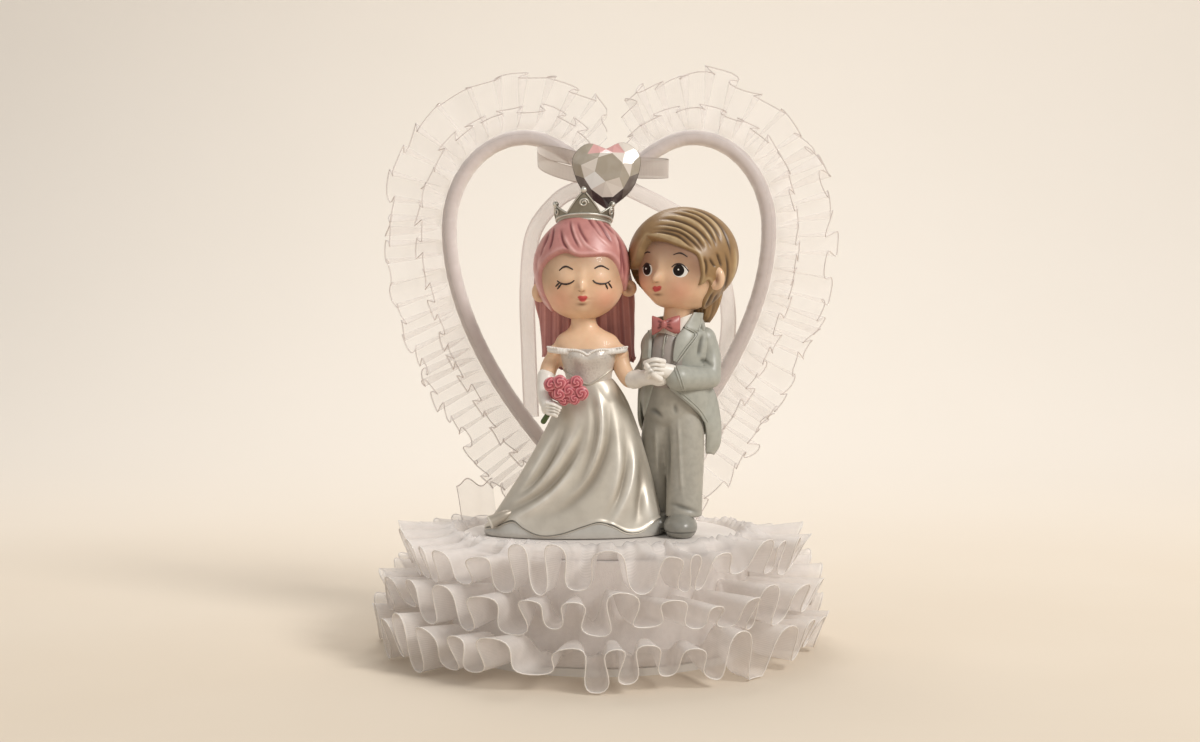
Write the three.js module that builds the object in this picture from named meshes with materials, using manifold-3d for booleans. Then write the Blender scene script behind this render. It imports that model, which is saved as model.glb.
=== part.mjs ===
// Wedding cake topper: a frilled base, a frilled heart arch with a bow and a heart gem, and a painted couple.
// Millimetres, +Z up, front towards -Y, origin at the centre of the underside.
import * as THREE from "three";
import { mergeVertices } from "three/addons/utils/BufferGeometryUtils.js";
import Module from "manifold-3d";

const wasm = await Module();
wasm.setup();

// Shared fits
const clearance = 0.3; // between pieces that touch
const organza = 0.5; // thickness of a frill or a ribbon
const roundSegments = 48;
const sliver = 0.04; // cuts leave no detail finer than this

// Base
const coreRadius = 45;
const coreHeight = 29.2;
const boardOverhang = 1;
const boardRadius = coreRadius + boardOverhang;
const boardThickness = 2;
const discInset = 3.2;
const discRadius = coreRadius - discInset;
const discThickness = 2;
const frillWaves = 28;
const frillSteps = 4; // points on one wave of a base frill
const frillHeaderDrop = 1.5; // from the core's top to the upper frill's gathered edge
const frillPitch = 11.2; // from one tier to the next
const frillHemRise = 0.7; // from a gathered edge to its hem's middle
const frillSway = 6.3; // how far the hem swings up and down
const frillLean = 2.5; // how far the hem swings in and out
const frillReach = { upper: 15, middle: 19.5, lower: 22.5 }; // from the core to the hem's middle
const trimEnd = { inset: 6.8, y: 13, width: 11, height: 14, lean: 4.5, fold: 1.6, waves: 2, gather: 0.5 };

// Arch, from the base's top
const archX = 2.9;
const archY = 20;
const heartHalfWidth = 50.8;
const heartLobeHeight = 123;
const heartLobeX = 26.5;
const heartSideDrop = 29; // from the lobes' tops to where the heart is widest
const heartCleftDrop = 13;
const heartSideHeight = heartLobeHeight - heartSideDrop;
const heartCleftHeight = heartLobeHeight - heartCleftDrop;
const heartFootHeight = 12; // where the sides turn down into the legs
const heartFootX = 8;
const heartBulge = 0.75; // how far the lower sides bow out, as a share of the half width
const legX = 4;
const legDepth = 20; // how far the wire goes down below the base's top
const wireRadius = 1.4;
const wrapRadius = 2.45;
const heartSteps = 25; // samples on each half of the heart
const wireSides = 6;
const frillWide = 20.4; // from the wire's middle to the wide frill's hem
const frillNarrow = 9.6;
const archFrillWaves = 19;
const archFrillFold = 2.2;
const archFrillSpread = 1.5; // how far each frill lies behind or before the wire's plane
const archFrillFoot = 23; // length of wire above each leg that has no frill
const archFrillGap = 12.4; // the same beside the cleft

// Bow and gem, placed from the arch's foot
const ribbonWidth = 5;
const knotRise = 3.4; // from the cleft
const bowKnot = {
  x: -0.4,
  y: -5.85,
  height: heartCleftHeight + knotRise,
  halfWidth: 3.2,
  halfDepth: 4.6,
  halfHeight: 3.2,
};
const loopOpening = 0.3; // angle of a loop's ring that the knot takes up, on each side
const bowLoops = {
  left: { length: 15, depth: 1.8, tilt: 0.25 },
  right: { length: 14, depth: 1.7, tilt: 0 },
};
// Each tail's middle line: across, forwards or back, and down from the cleft
const ribbonTails = {
  left: [
    [-4.2, -5.4, 2.4],
    [-10.2, -5, 3.8],
    [-16.8, -3, 7.6],
    [-24.1, 0.5, 17.4],
    [-26.2, 4, 34],
    [-25.9, 5.4, 54.4],
    [-25, 5.4, 76],
  ],
  right: [
    [3.4, -5.4, 2.2],
    [8.6, -5, 4.8],
    [18.3, -2.5, 9.4],
    [28.5, 1, 16],
    [36, 4, 30],
    [38.5, 5.4, 45],
    [36.5, 5.4, 62],
  ],
};
const tailSteps = 16;
const gemDrop = 4.3; // from the knot's middle down to the gem's
const gemShift = -0.25; // the same sideways
const gem = {
  width: 21.2,
  height: 20.8,
  backing: 0.8,
  girdle: 1.6,
  crown: 4.4,
  table: 0.52,
  tilt: -0.03,
  rim: 0.5,
};
const gemPoints = 28;

// Bride, from the base's top
const brideWaist = 47.4;
// Heights from the waist
const brideRise = {
  head: 31.2,
  shoulder: 4.6,
  leftElbow: 0.2,
  leftWrist: -5.8,
  leftHand: -9.6,
  rightElbow: -0.8,
  rightWrist: -0.4,
  rightHand: 0.2,
  bouquet: -3.6,
  stemEnd: -13.8,
};
// Heights from the middle of the head
const brideHairRise = { cap: 2.6, fringe: -6.1, bottom: -29.1, top: 3.4, tiara: 16 };
const gown = {
  y: -4,
  hemLeft: -33.6,
  hemRight: 18.6,
  waistLeft: -10.4,
  waistRight: 3.4,
  hemDepth: 13.3,
  waistDepth: 5.4,
  bandHeight: 4,
  bandFlare: 0.7,
  bandTuck: 1,
  folds: 7,
  foldDepth: 1.1,
  foldTwist: 1.5,
  levels: 8,
  sides: 35,
};
const bodice = { x: -3.4, y: -4.4, height: 8.6, waist: [6.6, 5.2], bust: [9.7, 6.6] };
const shoulders = { halfWidth: 11.6, halfDepth: 6, rise: 4.6, neckRadius: 3.8, back: 0.4 };
const sleeveBand = { halfWidth: 13.4, halfDepth: 8.2, height: 2.8, drop: 2.2, taper: 0.6 };
const neckSeat = 2.5; // how far a neck or a collar reaches up past the lowest point of its head
const brideHead = { x: -5.5, y: -3.5, height: brideWaist + brideRise.head, radii: [13.3, 12.6, 13.7] };
const brideHair = { back: 1.3, height: brideHead.height + brideHairRise.cap, radii: [14.7, 14.4, 14.4] };
const brideFringe = { height: brideHead.height + brideHairRise.fringe, halfWidth: 11.6, halfHeight: 12.6 };
const brideBackHair = {
  x: -3.6,
  y: 6.2,
  bottom: brideHead.height + brideHairRise.bottom,
  top: brideHead.height + brideHairRise.top,
  halfWidth: 14.6,
  halfDepth: 4.2,
};
const tiara = {
  x: -4.6,
  y: -2.6,
  radius: 9.6,
  height: brideHead.height + brideHairRise.tiara,
  root: 3, // how far its lower edge goes into the hair's curve
  band: 2.2,
  step: 1.6,
  sidePeak: 5,
  middlePeak: 9.2,
  thick: 1.1,
  sweep: 1.55,
};
const brideArms = {
  left: {
    shoulder: [-14, -3.6, brideWaist + brideRise.shoulder],
    elbow: [-16, -5, brideWaist + brideRise.leftElbow],
    radius: 2.5,
  },
  right: {
    shoulder: [7.4, -3.6, brideWaist + brideRise.shoulder],
    elbow: [9.8, -6, brideWaist + brideRise.rightElbow],
    radius: 2.5,
  },
};
const gloveTaper = 0.3;
const brideGloves = {
  left: {
    wrist: [-16.6, -9.6, brideWaist + brideRise.leftWrist],
    hand: [-14.6, -14.6, brideWaist + brideRise.leftHand],
    radius: 2.2,
    handRadii: [3, 2.6, 2.6],
  },
  right: {
    wrist: [13.6, -11, brideWaist + brideRise.rightWrist],
    hand: [18, -13.4, brideWaist + brideRise.rightHand],
    radius: 2.1,
    handRadii: [3.5, 2.8, 2.3],
  },
};
const bouquet = {
  x: -10.2,
  y: -15,
  height: brideWaist + brideRise.bouquet,
  halfWidth: 3.8,
  halfHeight: 2,
  rose: 2.6,
  count: 6,
};
const stem = { end: [-17.6, -14.8, brideWaist + brideRise.stemEnd], radius: 1.1 };

// Groom, from the base's top
const groomWaist = 45;
// Heights from the waist
const groomRise = {
  head: 36.2,
  crotch: -11,
  hem: -4,
  tails: -20,
  shoulder: 13.6,
  waistcoatBottom: -6,
  waistcoatTop: 15.6,
  collar: 15.2,
  bowTie: 18.4,
  leftShoulder: 12.4,
  leftElbow: 7,
  leftWrist: 3.6,
  rightShoulder: 11.8,
  rightElbow: 4.4,
  rightWrist: 4.6,
  glove: 6.9,
};
// Heights from the middle of the head
const groomHairRise = { cap: 2.8, fringe: -6.7, napeBottom: -16.6, napeTop: -1.2 };
const groomHead = {
  x: 25,
  y: -3.5,
  height: groomWaist + groomRise.head,
  radii: [13.5, 12.8, 13.7],
  turn: -0.4,
};
const groomHair = {
  x: 1.9,
  back: 2.1,
  height: groomHead.height + groomHairRise.cap,
  radii: [14.6, 14.2, 15],
};
const groomFringe = { height: groomHead.height + groomHairRise.fringe, halfWidth: 11.4, halfHeight: 12.4 };
const groomNape = {
  x: 29.6,
  y: 3,
  bottom: groomHead.height + groomHairRise.napeBottom,
  top: groomHead.height + groomHairRise.napeTop,
  halfWidth: 9.4,
  halfDepth: 6.6,
};
const legs = {
  left: { x: 17.2, y: 3.4, halfWidth: 5, halfDepth: 5 },
  right: { x: 25.9, y: -6, halfWidth: 5.4, halfDepth: 5.6 },
};
const trousers = { cuff: 6.4, crotch: groomWaist + groomRise.crotch, hipWidth: 8.5, hipDepth: 6 };
const shoe = { halfWidth: 5.1, halfLength: 7.6, height: 7.4, forward: 2.6, sole: 2.4 };
const coat = {
  x: 23,
  y: -2.6,
  hem: groomWaist + groomRise.hem,
  shoulder: groomWaist + groomRise.shoulder,
  halfWidth: 10,
  halfDepth: 7,
  neckRise: 3,
  tailBottom: groomWaist + groomRise.tails,
  tailWidth: 11.4,
  tailDepth: 7,
  tailBack: 6,
  cutaway: 0.62, // slant of the front between hem and tails, in radians from upright
};
const waistcoat = {
  x: 20.4,
  y: -5.4,
  bottom: groomWaist + groomRise.waistcoatBottom,
  top: groomWaist + groomRise.waistcoatTop,
  halfWidth: 5.6,
  halfDepth: 6,
};
const collar = { x: 22.2, y: -4.4, bottom: groomWaist + groomRise.collar, radius: 4.7, taper: 0.6 };
const bowTie = {
  x: 19.8,
  height: groomWaist + groomRise.bowTie,
  halfWidth: 4.6,
  halfHeight: 2.6,
  halfDepth: 1.3,
};
const sleeves = {
  left: {
    shoulder: [13.2, -1.6, groomWaist + groomRise.leftShoulder],
    elbow: [12.6, 2, groomWaist + groomRise.leftElbow],
    wrist: [11, 6, groomWaist + groomRise.leftWrist],
    radius: 3,
  },
  right: {
    shoulder: [31.8, -2.8, groomWaist + groomRise.rightShoulder],
    elbow: [32.6, -4.4, groomWaist + groomRise.rightElbow],
    wrist: [24.4, -12.2, groomWaist + groomRise.rightWrist],
    radius: 3.4,
  },
};
const sleeveTaper = 0.6;
const groomGlove = { x: 17.8, y: -14, height: groomWaist + groomRise.glove, radii: [4.2, 3, 2.1] };

// Heights that follow
const coreBottom = boardThickness + clearance;
const coreTop = coreBottom + coreHeight;
const discBottom = coreTop + clearance;
const baseTop = discBottom + discThickness;

// Helpers that make closed surfaces

const vector = (x, y, z) => new THREE.Vector3(x, y, z);

// A closed surface with its faces turned outwards.
function surface(points, faces) {
  let volume = 0;
  for (let i = 0; i < faces.length; i += 3) {
    const [a, b, c] = [points[faces[i]], points[faces[i + 1]], points[faces[i + 2]]];
    volume += a.dot(b.clone().cross(c));
  }
  if (volume < 0) faces.reverse();
  return new THREE.BufferGeometry().setFromPoints(points).setIndex(faces);
}

function centroid(points) {
  const sum = points.reduce((total, p) => total.add(p), vector(0, 0, 0));
  return sum.divideScalar(points.length);
}

// Rings of points joined one to the next. Fans close both ends; a pipe joins its last ring to its first.
function loft(rings, pipe = false) {
  const count = rings[0].length;
  const points = rings.flat();
  const faces = [];
  const bands = pipe ? rings.length : rings.length - 1;
  for (let i = 0; i < bands; i++) {
    const next = ((i + 1) % rings.length) * count;
    for (let j = 0; j < count; j++) {
      const k = (j + 1) % count;
      faces.push(i * count + j, i * count + k, next + k);
      faces.push(i * count + j, next + k, next + j);
    }
  }
  if (pipe) return surface(points, faces);
  const last = (rings.length - 1) * count;
  const bottom = points.push(centroid(rings[0])) - 1;
  const end = points.push(centroid(rings.at(-1))) - 1;
  for (let j = 0; j < count; j++) {
    const k = (j + 1) % count;
    faces.push(bottom, k, j);
    faces.push(end, last + j, last + k);
  }
  return surface(points, faces);
}

// A thin closed sheet around a grid of points; the grid's rows may run round a loop.
function sheet(grid, thickness, loop = false) {
  const rows = grid.length;
  const columns = grid[0].length;
  const clamp = THREE.MathUtils.clamp;
  const at = (i, j) => {
    const row = loop ? (i + rows) % rows : clamp(i, 0, rows - 1);
    return grid[row][clamp(j, 0, columns - 1)];
  };
  const points = [];
  for (const side of [0.5, -0.5]) {
    for (let i = 0; i < rows; i++) {
      for (let j = 0; j < columns; j++) {
        const along = at(i + 1, j).clone().sub(at(i - 1, j));
        const across = at(i, j + 1).clone().sub(at(i, j - 1));
        const normal = along.cross(across).normalize();
        points.push(at(i, j).clone().addScaledVector(normal, side * thickness));
      }
    }
  }
  const faces = [];
  const quad = (a, b, c, d) => faces.push(a, b, c, a, c, d);
  const front = (i, j) => (i % rows) * columns + j;
  const back = (i, j) => rows * columns + front(i, j);
  const lastRow = rows - 1;
  const lastColumn = columns - 1;
  for (let i = 0; i < (loop ? rows : lastRow); i++) {
    for (let j = 0; j < lastColumn; j++) {
      quad(front(i, j), front(i + 1, j), front(i + 1, j + 1), front(i, j + 1));
      quad(back(i, j), back(i, j + 1), back(i + 1, j + 1), back(i + 1, j));
    }
    quad(front(i + 1, 0), front(i, 0), back(i, 0), back(i + 1, 0));
    quad(front(i, lastColumn), front(i + 1, lastColumn), back(i + 1, lastColumn), back(i, lastColumn));
  }
  for (let j = 0; j < lastColumn && !loop; j++) {
    quad(front(0, j), front(0, j + 1), back(0, j + 1), back(0, j));
    quad(front(lastRow, j + 1), front(lastRow, j), back(lastRow, j), back(lastRow, j + 1));
  }
  return surface(points, faces);
}

// Level ellipses stacked upwards, each section [height, x, y, half width, half depth].
function stack(sections, grow = 0, sides = 20) {
  const rings = sections.map(([height, x, y, halfWidth, halfDepth], i) => {
    const end = i === 0 ? -grow : i === sections.length - 1 ? grow : 0;
    return Array.from({ length: sides }, (_, j) => {
      const angle = (j / sides) * 2 * Math.PI;
      const across = (halfWidth + grow) * Math.cos(angle);
      const deep = (halfDepth + grow) * Math.sin(angle);
      return vector(x + across, y + deep, height + end);
    });
  });
  return solid(loft(rings));
}

function ball(centre, radii, grow = 0, around = 16, levels = 9) {
  const geometry = new THREE.SphereGeometry(1, around, levels).rotateX(Math.PI / 2);
  geometry.scale(radii[0] + grow, radii[1] + grow, radii[2] + grow);
  return solid(geometry.translate(...centre));
}

// A round limb along a smooth line through the points, with rounded ends.
function limb(points, startRadius, endRadius, grow = 0, sides = 10) {
  const curve = new THREE.CatmullRomCurve3(points.map((p) => vector(...p)));
  const steps = 3 * (points.length - 1);
  const frames = curve.computeFrenetFrames(steps);
  const ring = (i, share, shift) => {
    const radius = THREE.MathUtils.lerp(startRadius, endRadius, i / steps) + grow;
    const middle = curve.getPointAt(i / steps).addScaledVector(frames.tangents[i], shift * radius);
    return Array.from({ length: sides }, (_, j) => {
      const angle = (j / sides) * 2 * Math.PI;
      return middle
        .clone()
        .addScaledVector(frames.normals[i], share * radius * Math.cos(angle))
        .addScaledVector(frames.binormals[i], share * radius * Math.sin(angle));
    });
  };
  const body = Array.from({ length: steps + 1 }, (_, i) => ring(i, 1, 0));
  return solid(loft([ring(0, 0.6, -0.6), ...body, ring(steps, 0.6, 0.6)]));
}

// Boolean cuts and joins

function solid(geometry) {
  const bare = new THREE.BufferGeometry().setAttribute("position", geometry.getAttribute("position"));
  bare.setIndex(geometry.index);
  const merged = mergeVertices(bare);
  const triVerts = new Uint32Array(merged.index.array);
  const vertProperties = merged.getAttribute("position").array;
  return new wasm.Manifold(new wasm.Mesh({ numProp: 3, vertProperties, triVerts }));
}

const join = (first, ...others) => others.reduce((whole, other) => whole.add(other), first);

// What is left of a solid beside its neighbours: its largest body, with no slivers.
function cut(first, ...others) {
  const left = others.reduce((whole, other) => whole.subtract(other), first);
  const bodies = left.decompose();
  const largest = bodies.reduce((a, b) => (b.volume() > a.volume() ? b : a));
  return largest.simplify(sliver);
}

function geometryOf(made) {
  const { vertProperties, triVerts } = made.getMesh();
  const geometry = new THREE.BufferGeometry();
  geometry.setAttribute("position", new THREE.BufferAttribute(vertProperties, 3));
  return geometry.setIndex(new THREE.BufferAttribute(triVerts, 1));
}

const box = (size, centre) => solid(new THREE.BoxGeometry(...size).translate(...centre));

// Materials

const looks = {
  card: ["#e9e5df", 0.9, 0],
  foam: ["#f4f2ee", 0.95, 0],
  satin: ["#efe9ea", 0.5, 0],
  organza: ["#f3ecec", 0.6, 0],
  ribbon: ["#ddd2cf", 0.55, 0],
  wire: ["#b9b9b9", 0.4, 0.9],
  crystal: ["#e6e6e4", 0.08, 0],
  foil: ["#b8b8b6", 0.15, 1],
  gown: ["#cdc8bb", 0.3, 0.2],
  lace: ["#dcd9d0", 0.45, 0.1],
  skin: ["#e2b48f", 0.5, 0],
  pinkHair: ["#c9808a", 0.5, 0],
  silver: ["#8f8c84", 0.35, 0.8],
  glove: ["#e8e2d8", 0.55, 0],
  rose: ["#cd6980", 0.5, 0],
  green: ["#4d5a3a", 0.6, 0],
  coat: ["#a0a49e", 0.5, 0],
  trousers: ["#91948c", 0.5, 0],
  shoe: ["#8f938f", 0.4, 0],
  shirt: ["#efe9e0", 0.6, 0],
  tie: ["#c46e76", 0.5, 0],
  brownHair: ["#967550", 0.5, 0],
};

function piece(name, look, shape) {
  const [color, roughness, metalness] = looks[look];
  const geometry = shape.isBufferGeometry ? shape : geometryOf(shape);
  const mesh = new THREE.Mesh(geometry, new THREE.MeshStandardMaterial({ color, roughness, metalness }));
  mesh.name = name;
  return mesh;
}

function group(x, y, z, pieces) {
  const made = new THREE.Group();
  made.position.set(x, y, z);
  return made.add(...pieces);
}

// Base

function round(radius, bottom, height) {
  const geometry = new THREE.CylinderGeometry(radius, radius, height, roundSegments).rotateX(Math.PI / 2);
  return solid(geometry.translate(0, 0, bottom + height / 2));
}

// The two holes that take the arch's legs.
function sockets() {
  const radius = wireRadius + clearance;
  const floor = baseTop - legDepth - clearance;
  return [-legX, legX].map((x) => {
    const hole = new THREE.CylinderGeometry(radius, radius, legDepth + 2, 16).rotateX(Math.PI / 2);
    return solid(hole.translate(archX + x, archY, floor + legDepth / 2 + 1));
  });
}

function baseFrill(tier, reachOut) {
  const hemRadius = coreRadius + reachOut;
  const header = coreTop - frillHeaderDrop - tier * frillPitch;
  const headerRadius = coreRadius + clearance + organza / 2;
  const steps = frillWaves * frillSteps;
  const grid = Array.from({ length: steps }, (_, i) => {
    const angle = (i / steps) * 2 * Math.PI;
    const wave = Math.sign(Math.sin((i + 0.5) * ((2 * Math.PI) / frillSteps)));
    const reach = hemRadius + frillLean * wave;
    const rise = header + frillHemRise + frillSway * wave;
    const [x, y] = [Math.cos(angle), Math.sin(angle)];
    return [vector(headerRadius * x, headerRadius * y, header), vector(reach * x, reach * y, rise)];
  });
  return sheet(grid, organza, true);
}

// The cut end of the frill trim, standing on the disc behind the gown.
function looseTrim() {
  const steps = trimEnd.waves * 8;
  const middle = trimEnd.inset - discRadius;
  const grid = Array.from({ length: steps + 1 }, (_, i) => {
    const along = i / steps;
    const fold = trimEnd.fold * Math.sin(along * trimEnd.waves * 2 * Math.PI);
    const across = (along - 0.5) * trimEnd.width;
    const foot = vector(middle + across * trimEnd.gather, trimEnd.y, baseTop + clearance);
    const x = middle + across - trimEnd.lean;
    return [foot, vector(x, trimEnd.y + fold, baseTop + trimEnd.height)];
  });
  return sheet(grid, organza);
}

function basePieces() {
  const frills = Object.entries(frillReach).map(([name, reach], tier) =>
    piece("base_ruffle_" + name, "organza", baseFrill(tier, reach)),
  );
  return [
    piece("base_board", "card", round(boardRadius, 0, boardThickness)),
    piece("base_core", "foam", cut(round(coreRadius, coreBottom, coreHeight), ...sockets())),
    piece("base_top_disc", "satin", cut(round(discRadius, discBottom, discThickness), ...sockets())),
    ...frills,
    piece("base_trim_end", "organza", looseTrim()),
  ];
}

// Arch: the wire's line is a heart in the XZ plane, from the left leg round to the right leg

// The left half from the top of its leg to the cleft, as three smooth curves.
function halfHeart() {
  const at = (x, z) => vector(-x, 0, z);
  const path = new THREE.CurvePath();
  const leg = at(legX, 0);
  const foot = at(heartFootX, heartFootHeight);
  const side = at(heartHalfWidth, heartSideHeight);
  const lobe = at(heartLobeX, heartLobeHeight);
  const cleft = at(0, heartCleftHeight);
  const curve = (...points) => path.add(new THREE.CubicBezierCurve3(...points));
  const footTurn = heartFootHeight / 3;
  curve(leg, at(legX, footTurn * 2), at(heartFootX - footTurn, footTurn * 2), foot);
  const bulge = heartHalfWidth * heartBulge;
  const sideTurn = (heartSideHeight - heartFootHeight) * 0.28;
  const outTurn = at(bulge, heartFootHeight + bulge - heartFootX);
  curve(foot, outTurn, at(heartHalfWidth, heartSideHeight - sideTurn), side);
  const rise = heartLobeHeight - heartSideHeight;
  const shoulderX = heartLobeX + (heartHalfWidth - heartLobeX) * 0.58;
  curve(side, at(heartHalfWidth, heartSideHeight + rise * 0.53), at(shoulderX, heartLobeHeight), lobe);
  curve(lobe, at(heartLobeX * 0.57, heartLobeHeight), at(heartLobeX * 0.23, heartCleftHeight), cleft);
  return path;
}

const mirror = (p) => vector(-p.x, p.y, p.z);

// Points of the whole heart with the outward direction at each, above the base's top by the clearance.
function heartFrames() {
  const path = halfHeart();
  const left = Array.from({ length: heartSteps + 1 }, (_, i) => {
    const tangent = path.getTangentAt(i / heartSteps);
    return { point: path.getPointAt(i / heartSteps), outward: vector(-tangent.z, 0, tangent.x) };
  });
  left[0].point.z = clearance;
  const across = ({ point, outward }) => ({ point: mirror(point), outward: mirror(outward) });
  const right = left.slice(0, -1).map(across);
  return [...left, ...right.reverse()];
}

function pipeRing({ point, outward }, radius, sides) {
  return Array.from({ length: sides }, (_, j) => {
    const angle = (j / sides) * 2 * Math.PI;
    return point
      .clone()
      .addScaledVector(outward, radius * Math.cos(angle))
      .add(vector(0, radius * Math.sin(angle), 0));
  });
}

function archWire() {
  const frames = heartFrames();
  const foot = (frame) => ({ point: frame.point.clone().setZ(-legDepth), outward: frame.outward });
  const whole = [foot(frames[0]), ...frames, foot(frames.at(-1))];
  return loft(whole.map((frame) => pipeRing(frame, wireRadius, wireSides)));
}

function archWrap() {
  const frames = heartFrames();
  const outside = frames.map((frame) => pipeRing(frame, wrapRadius, wireSides));
  const bore = frames.map((frame) => pipeRing(frame, wireRadius + clearance, wireSides));
  return loft([...outside, ...bore.reverse()], true);
}

// One frill along one half of the heart: gathered on the wrap, and folded at its hem.
function archFrill(side, reach, behind) {
  const path = halfHeart();
  const long = path.getLength();
  const steps = archFrillWaves * 4;
  const grid = Array.from({ length: steps + 1 }, (_, i) => {
    const along = THREE.MathUtils.lerp(archFrillFoot, long - archFrillGap, i / steps) / long;
    const tangent = path.getTangentAt(along);
    const outward = vector(-tangent.z, 0, tangent.x);
    const wire = path.getPointAt(along);
    const fold = archFrillFold * Math.sin((i * Math.PI) / 2);
    const header = wire.clone().addScaledVector(outward, wrapRadius + clearance);
    const hem = wire.clone().addScaledVector(outward, reach);
    header.y = behind * archFrillSpread;
    hem.y = behind * archFrillSpread + fold;
    hem.x = Math.min(hem.x, -organza); // the two halves meet, and do not cross, over the cleft
    const ends = [header, hem];
    return side === "left" ? ends : ends.map(mirror);
  });
  return sheet(grid, organza);
}

// Bow: each loop is a flattened ring of ribbon, open where the knot holds it
function bowLoop(side) {
  const { length, depth, tilt } = bowLoops[side];
  const sign = side === "left" ? -1 : 1;
  const inner = bowKnot.halfWidth + clearance + organza / 2;
  const steps = 14;
  const grid = Array.from({ length: steps + 1 }, (_, i) => {
    const angle = THREE.MathUtils.lerp(loopOpening, 2 * Math.PI - loopOpening, i / steps);
    const out = inner + (length / 2) * (Math.cos(loopOpening) - Math.cos(angle));
    const x = bowKnot.x + sign * out;
    const y = bowKnot.y + depth * Math.sin(angle);
    const height = bowKnot.height - tilt * (out - inner) * 0.3;
    const lean = (sign * tilt * ribbonWidth) / 2;
    return [vector(x + lean, y, height - ribbonWidth / 2), vector(x - lean, y, height + ribbonWidth / 2)];
  });
  return sheet(grid, organza);
}

function ribbonTail(side) {
  const points = ribbonTails[side].map(([x, y, drop]) => vector(x, y, heartCleftHeight - drop));
  const curve = new THREE.CatmullRomCurve3(points);
  const grid = Array.from({ length: tailSteps + 1 }, (_, i) => {
    const middle = curve.getPointAt(i / tailSteps);
    const across = curve.getTangentAt(i / tailSteps).cross(vector(0, 1, 0)).normalize();
    return [-0.5, 0.5].map((share) => middle.clone().addScaledVector(across, share * ribbonWidth));
  });
  return sheet(grid, organza);
}

// Gem: a heart outline in the XZ plane, scaled about its middle
function heartRing(scale, y) {
  return Array.from({ length: gemPoints }, (_, j) => {
    const t = (j / gemPoints) * 2 * Math.PI;
    const x = 0.75 * Math.sin(t) ** 3 + 0.25 * Math.sin(t);
    const z = (13 * Math.cos(t) - 3.2 * Math.cos(2 * t) - 1.2 * Math.cos(3 * t) - 0.6 * Math.cos(4 * t) + 2.5) / 26.2;
    return vector((x * gem.width * scale) / 2, y, z * gem.height * scale);
  });
}

function placedGem(rings) {
  const back = bowKnot.y - bowKnot.halfDepth - clearance;
  return loft(rings).rotateY(gem.tilt).translate(bowKnot.x + gemShift, back, bowKnot.height - gemDrop);
}

function gemBacking() {
  const scale = 1 + (2 * gem.rim) / gem.width;
  return placedGem([heartRing(scale, 0), heartRing(scale, -gem.backing)]);
}

function gemCrystal() {
  const back = -gem.backing - clearance;
  const front = back - gem.girdle - gem.crown;
  return placedGem([heartRing(1, back), heartRing(1, back - gem.girdle), heartRing(gem.table, front)]);
}

// The knot, hollowed where it sits on the wrapped wire.
function knotSolid() {
  const { x, y, height, halfWidth, halfDepth, halfHeight } = bowKnot;
  const wrapped = heartFrames().map((frame) => pipeRing(frame, wrapRadius + clearance, wireSides));
  return cut(ball([x, y, height], [halfWidth, halfDepth, halfHeight], 0, 12, 8), solid(loft(wrapped)));
}

function archPieces() {
  const sides = ["left", "right"];
  return [
    piece("arch_wire", "wire", archWire()),
    piece("arch_wrap", "satin", archWrap()),
    ...sides.map((side) => piece("arch_ruffle_back_" + side, "organza", archFrill(side, frillWide, 1))),
    ...sides.map((side) => piece("arch_ruffle_front_" + side, "organza", archFrill(side, frillNarrow, -1))),
    ...sides.map((side) => piece("bow_loop_" + side, "ribbon", bowLoop(side))),
    ...sides.map((side) => piece("ribbon_tail_" + side, "ribbon", ribbonTail(side))),
    piece("bow_knot", "ribbon", knotSolid()),
    piece("gem_foil_back", "foil", gemBacking()),
    piece("gem_crystal", "crystal", gemCrystal()),
  ];
}

// Bride: each shape can be made larger by a clearance, so that a neighbour can be cut to it

// The gown's outline at a height: its left edge trails out towards the hem, and folds run down it.
function gownRing(height, grow) {
  const { foldDepth, sides } = gown;
  const drop = (brideWaist - height) / (brideWaist - gown.bandHeight);
  const left = THREE.MathUtils.lerp(gown.waistLeft, gown.hemLeft, drop ** 1.25) - grow;
  const right = THREE.MathUtils.lerp(gown.waistRight, gown.hemRight, drop ** 0.7) + grow;
  const depth = THREE.MathUtils.lerp(gown.waistDepth, gown.hemDepth, drop ** 0.8) + grow;
  return Array.from({ length: sides }, (_, j) => {
    const angle = (j / sides) * 2 * Math.PI;
    const fold = foldDepth * drop * (Math.cos(gown.folds * angle + gown.foldTwist * drop) - 1);
    const x = (left + right) / 2 + ((right - left) / 2 + fold) * Math.cos(angle);
    return vector(x, gown.y + (depth + fold) * Math.sin(angle), height);
  });
}

function gownSkirt(grow = 0) {
  const bottom = gown.bandHeight + clearance - grow;
  const rings = Array.from({ length: gown.levels + 1 }, (_, i) => {
    const height = THREE.MathUtils.lerp(bottom, brideWaist, i / gown.levels);
    return gownRing(height, grow);
  });
  return solid(loft(rings));
}

function gownHemBand(grow = 0) {
  const flare = gown.bandFlare + grow;
  const low = gownRing(gown.bandHeight, flare - gown.bandTuck).map((p) => p.setZ(clearance - grow));
  const high = gownRing(gown.bandHeight, flare).map((p) => p.setZ(gown.bandHeight + grow));
  return solid(loft([low, high]));
}

const bodiceBottom = brideWaist + clearance;
const bodiceTop = bodiceBottom + bodice.height;

function bodiceSolid(grow = 0) {
  const { x, y, waist, bust } = bodice;
  const middle = waist.map((size, i) => THREE.MathUtils.lerp(size, bust[i], 0.6));
  return stack([
    [bodiceBottom, x, y, ...waist],
    [bodiceBottom + bodice.height / 2, x, y, ...middle],
    [bodiceTop, x, y, ...bust],
  ], grow);
}

const shouldersBottom = bodiceTop + clearance;

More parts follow.
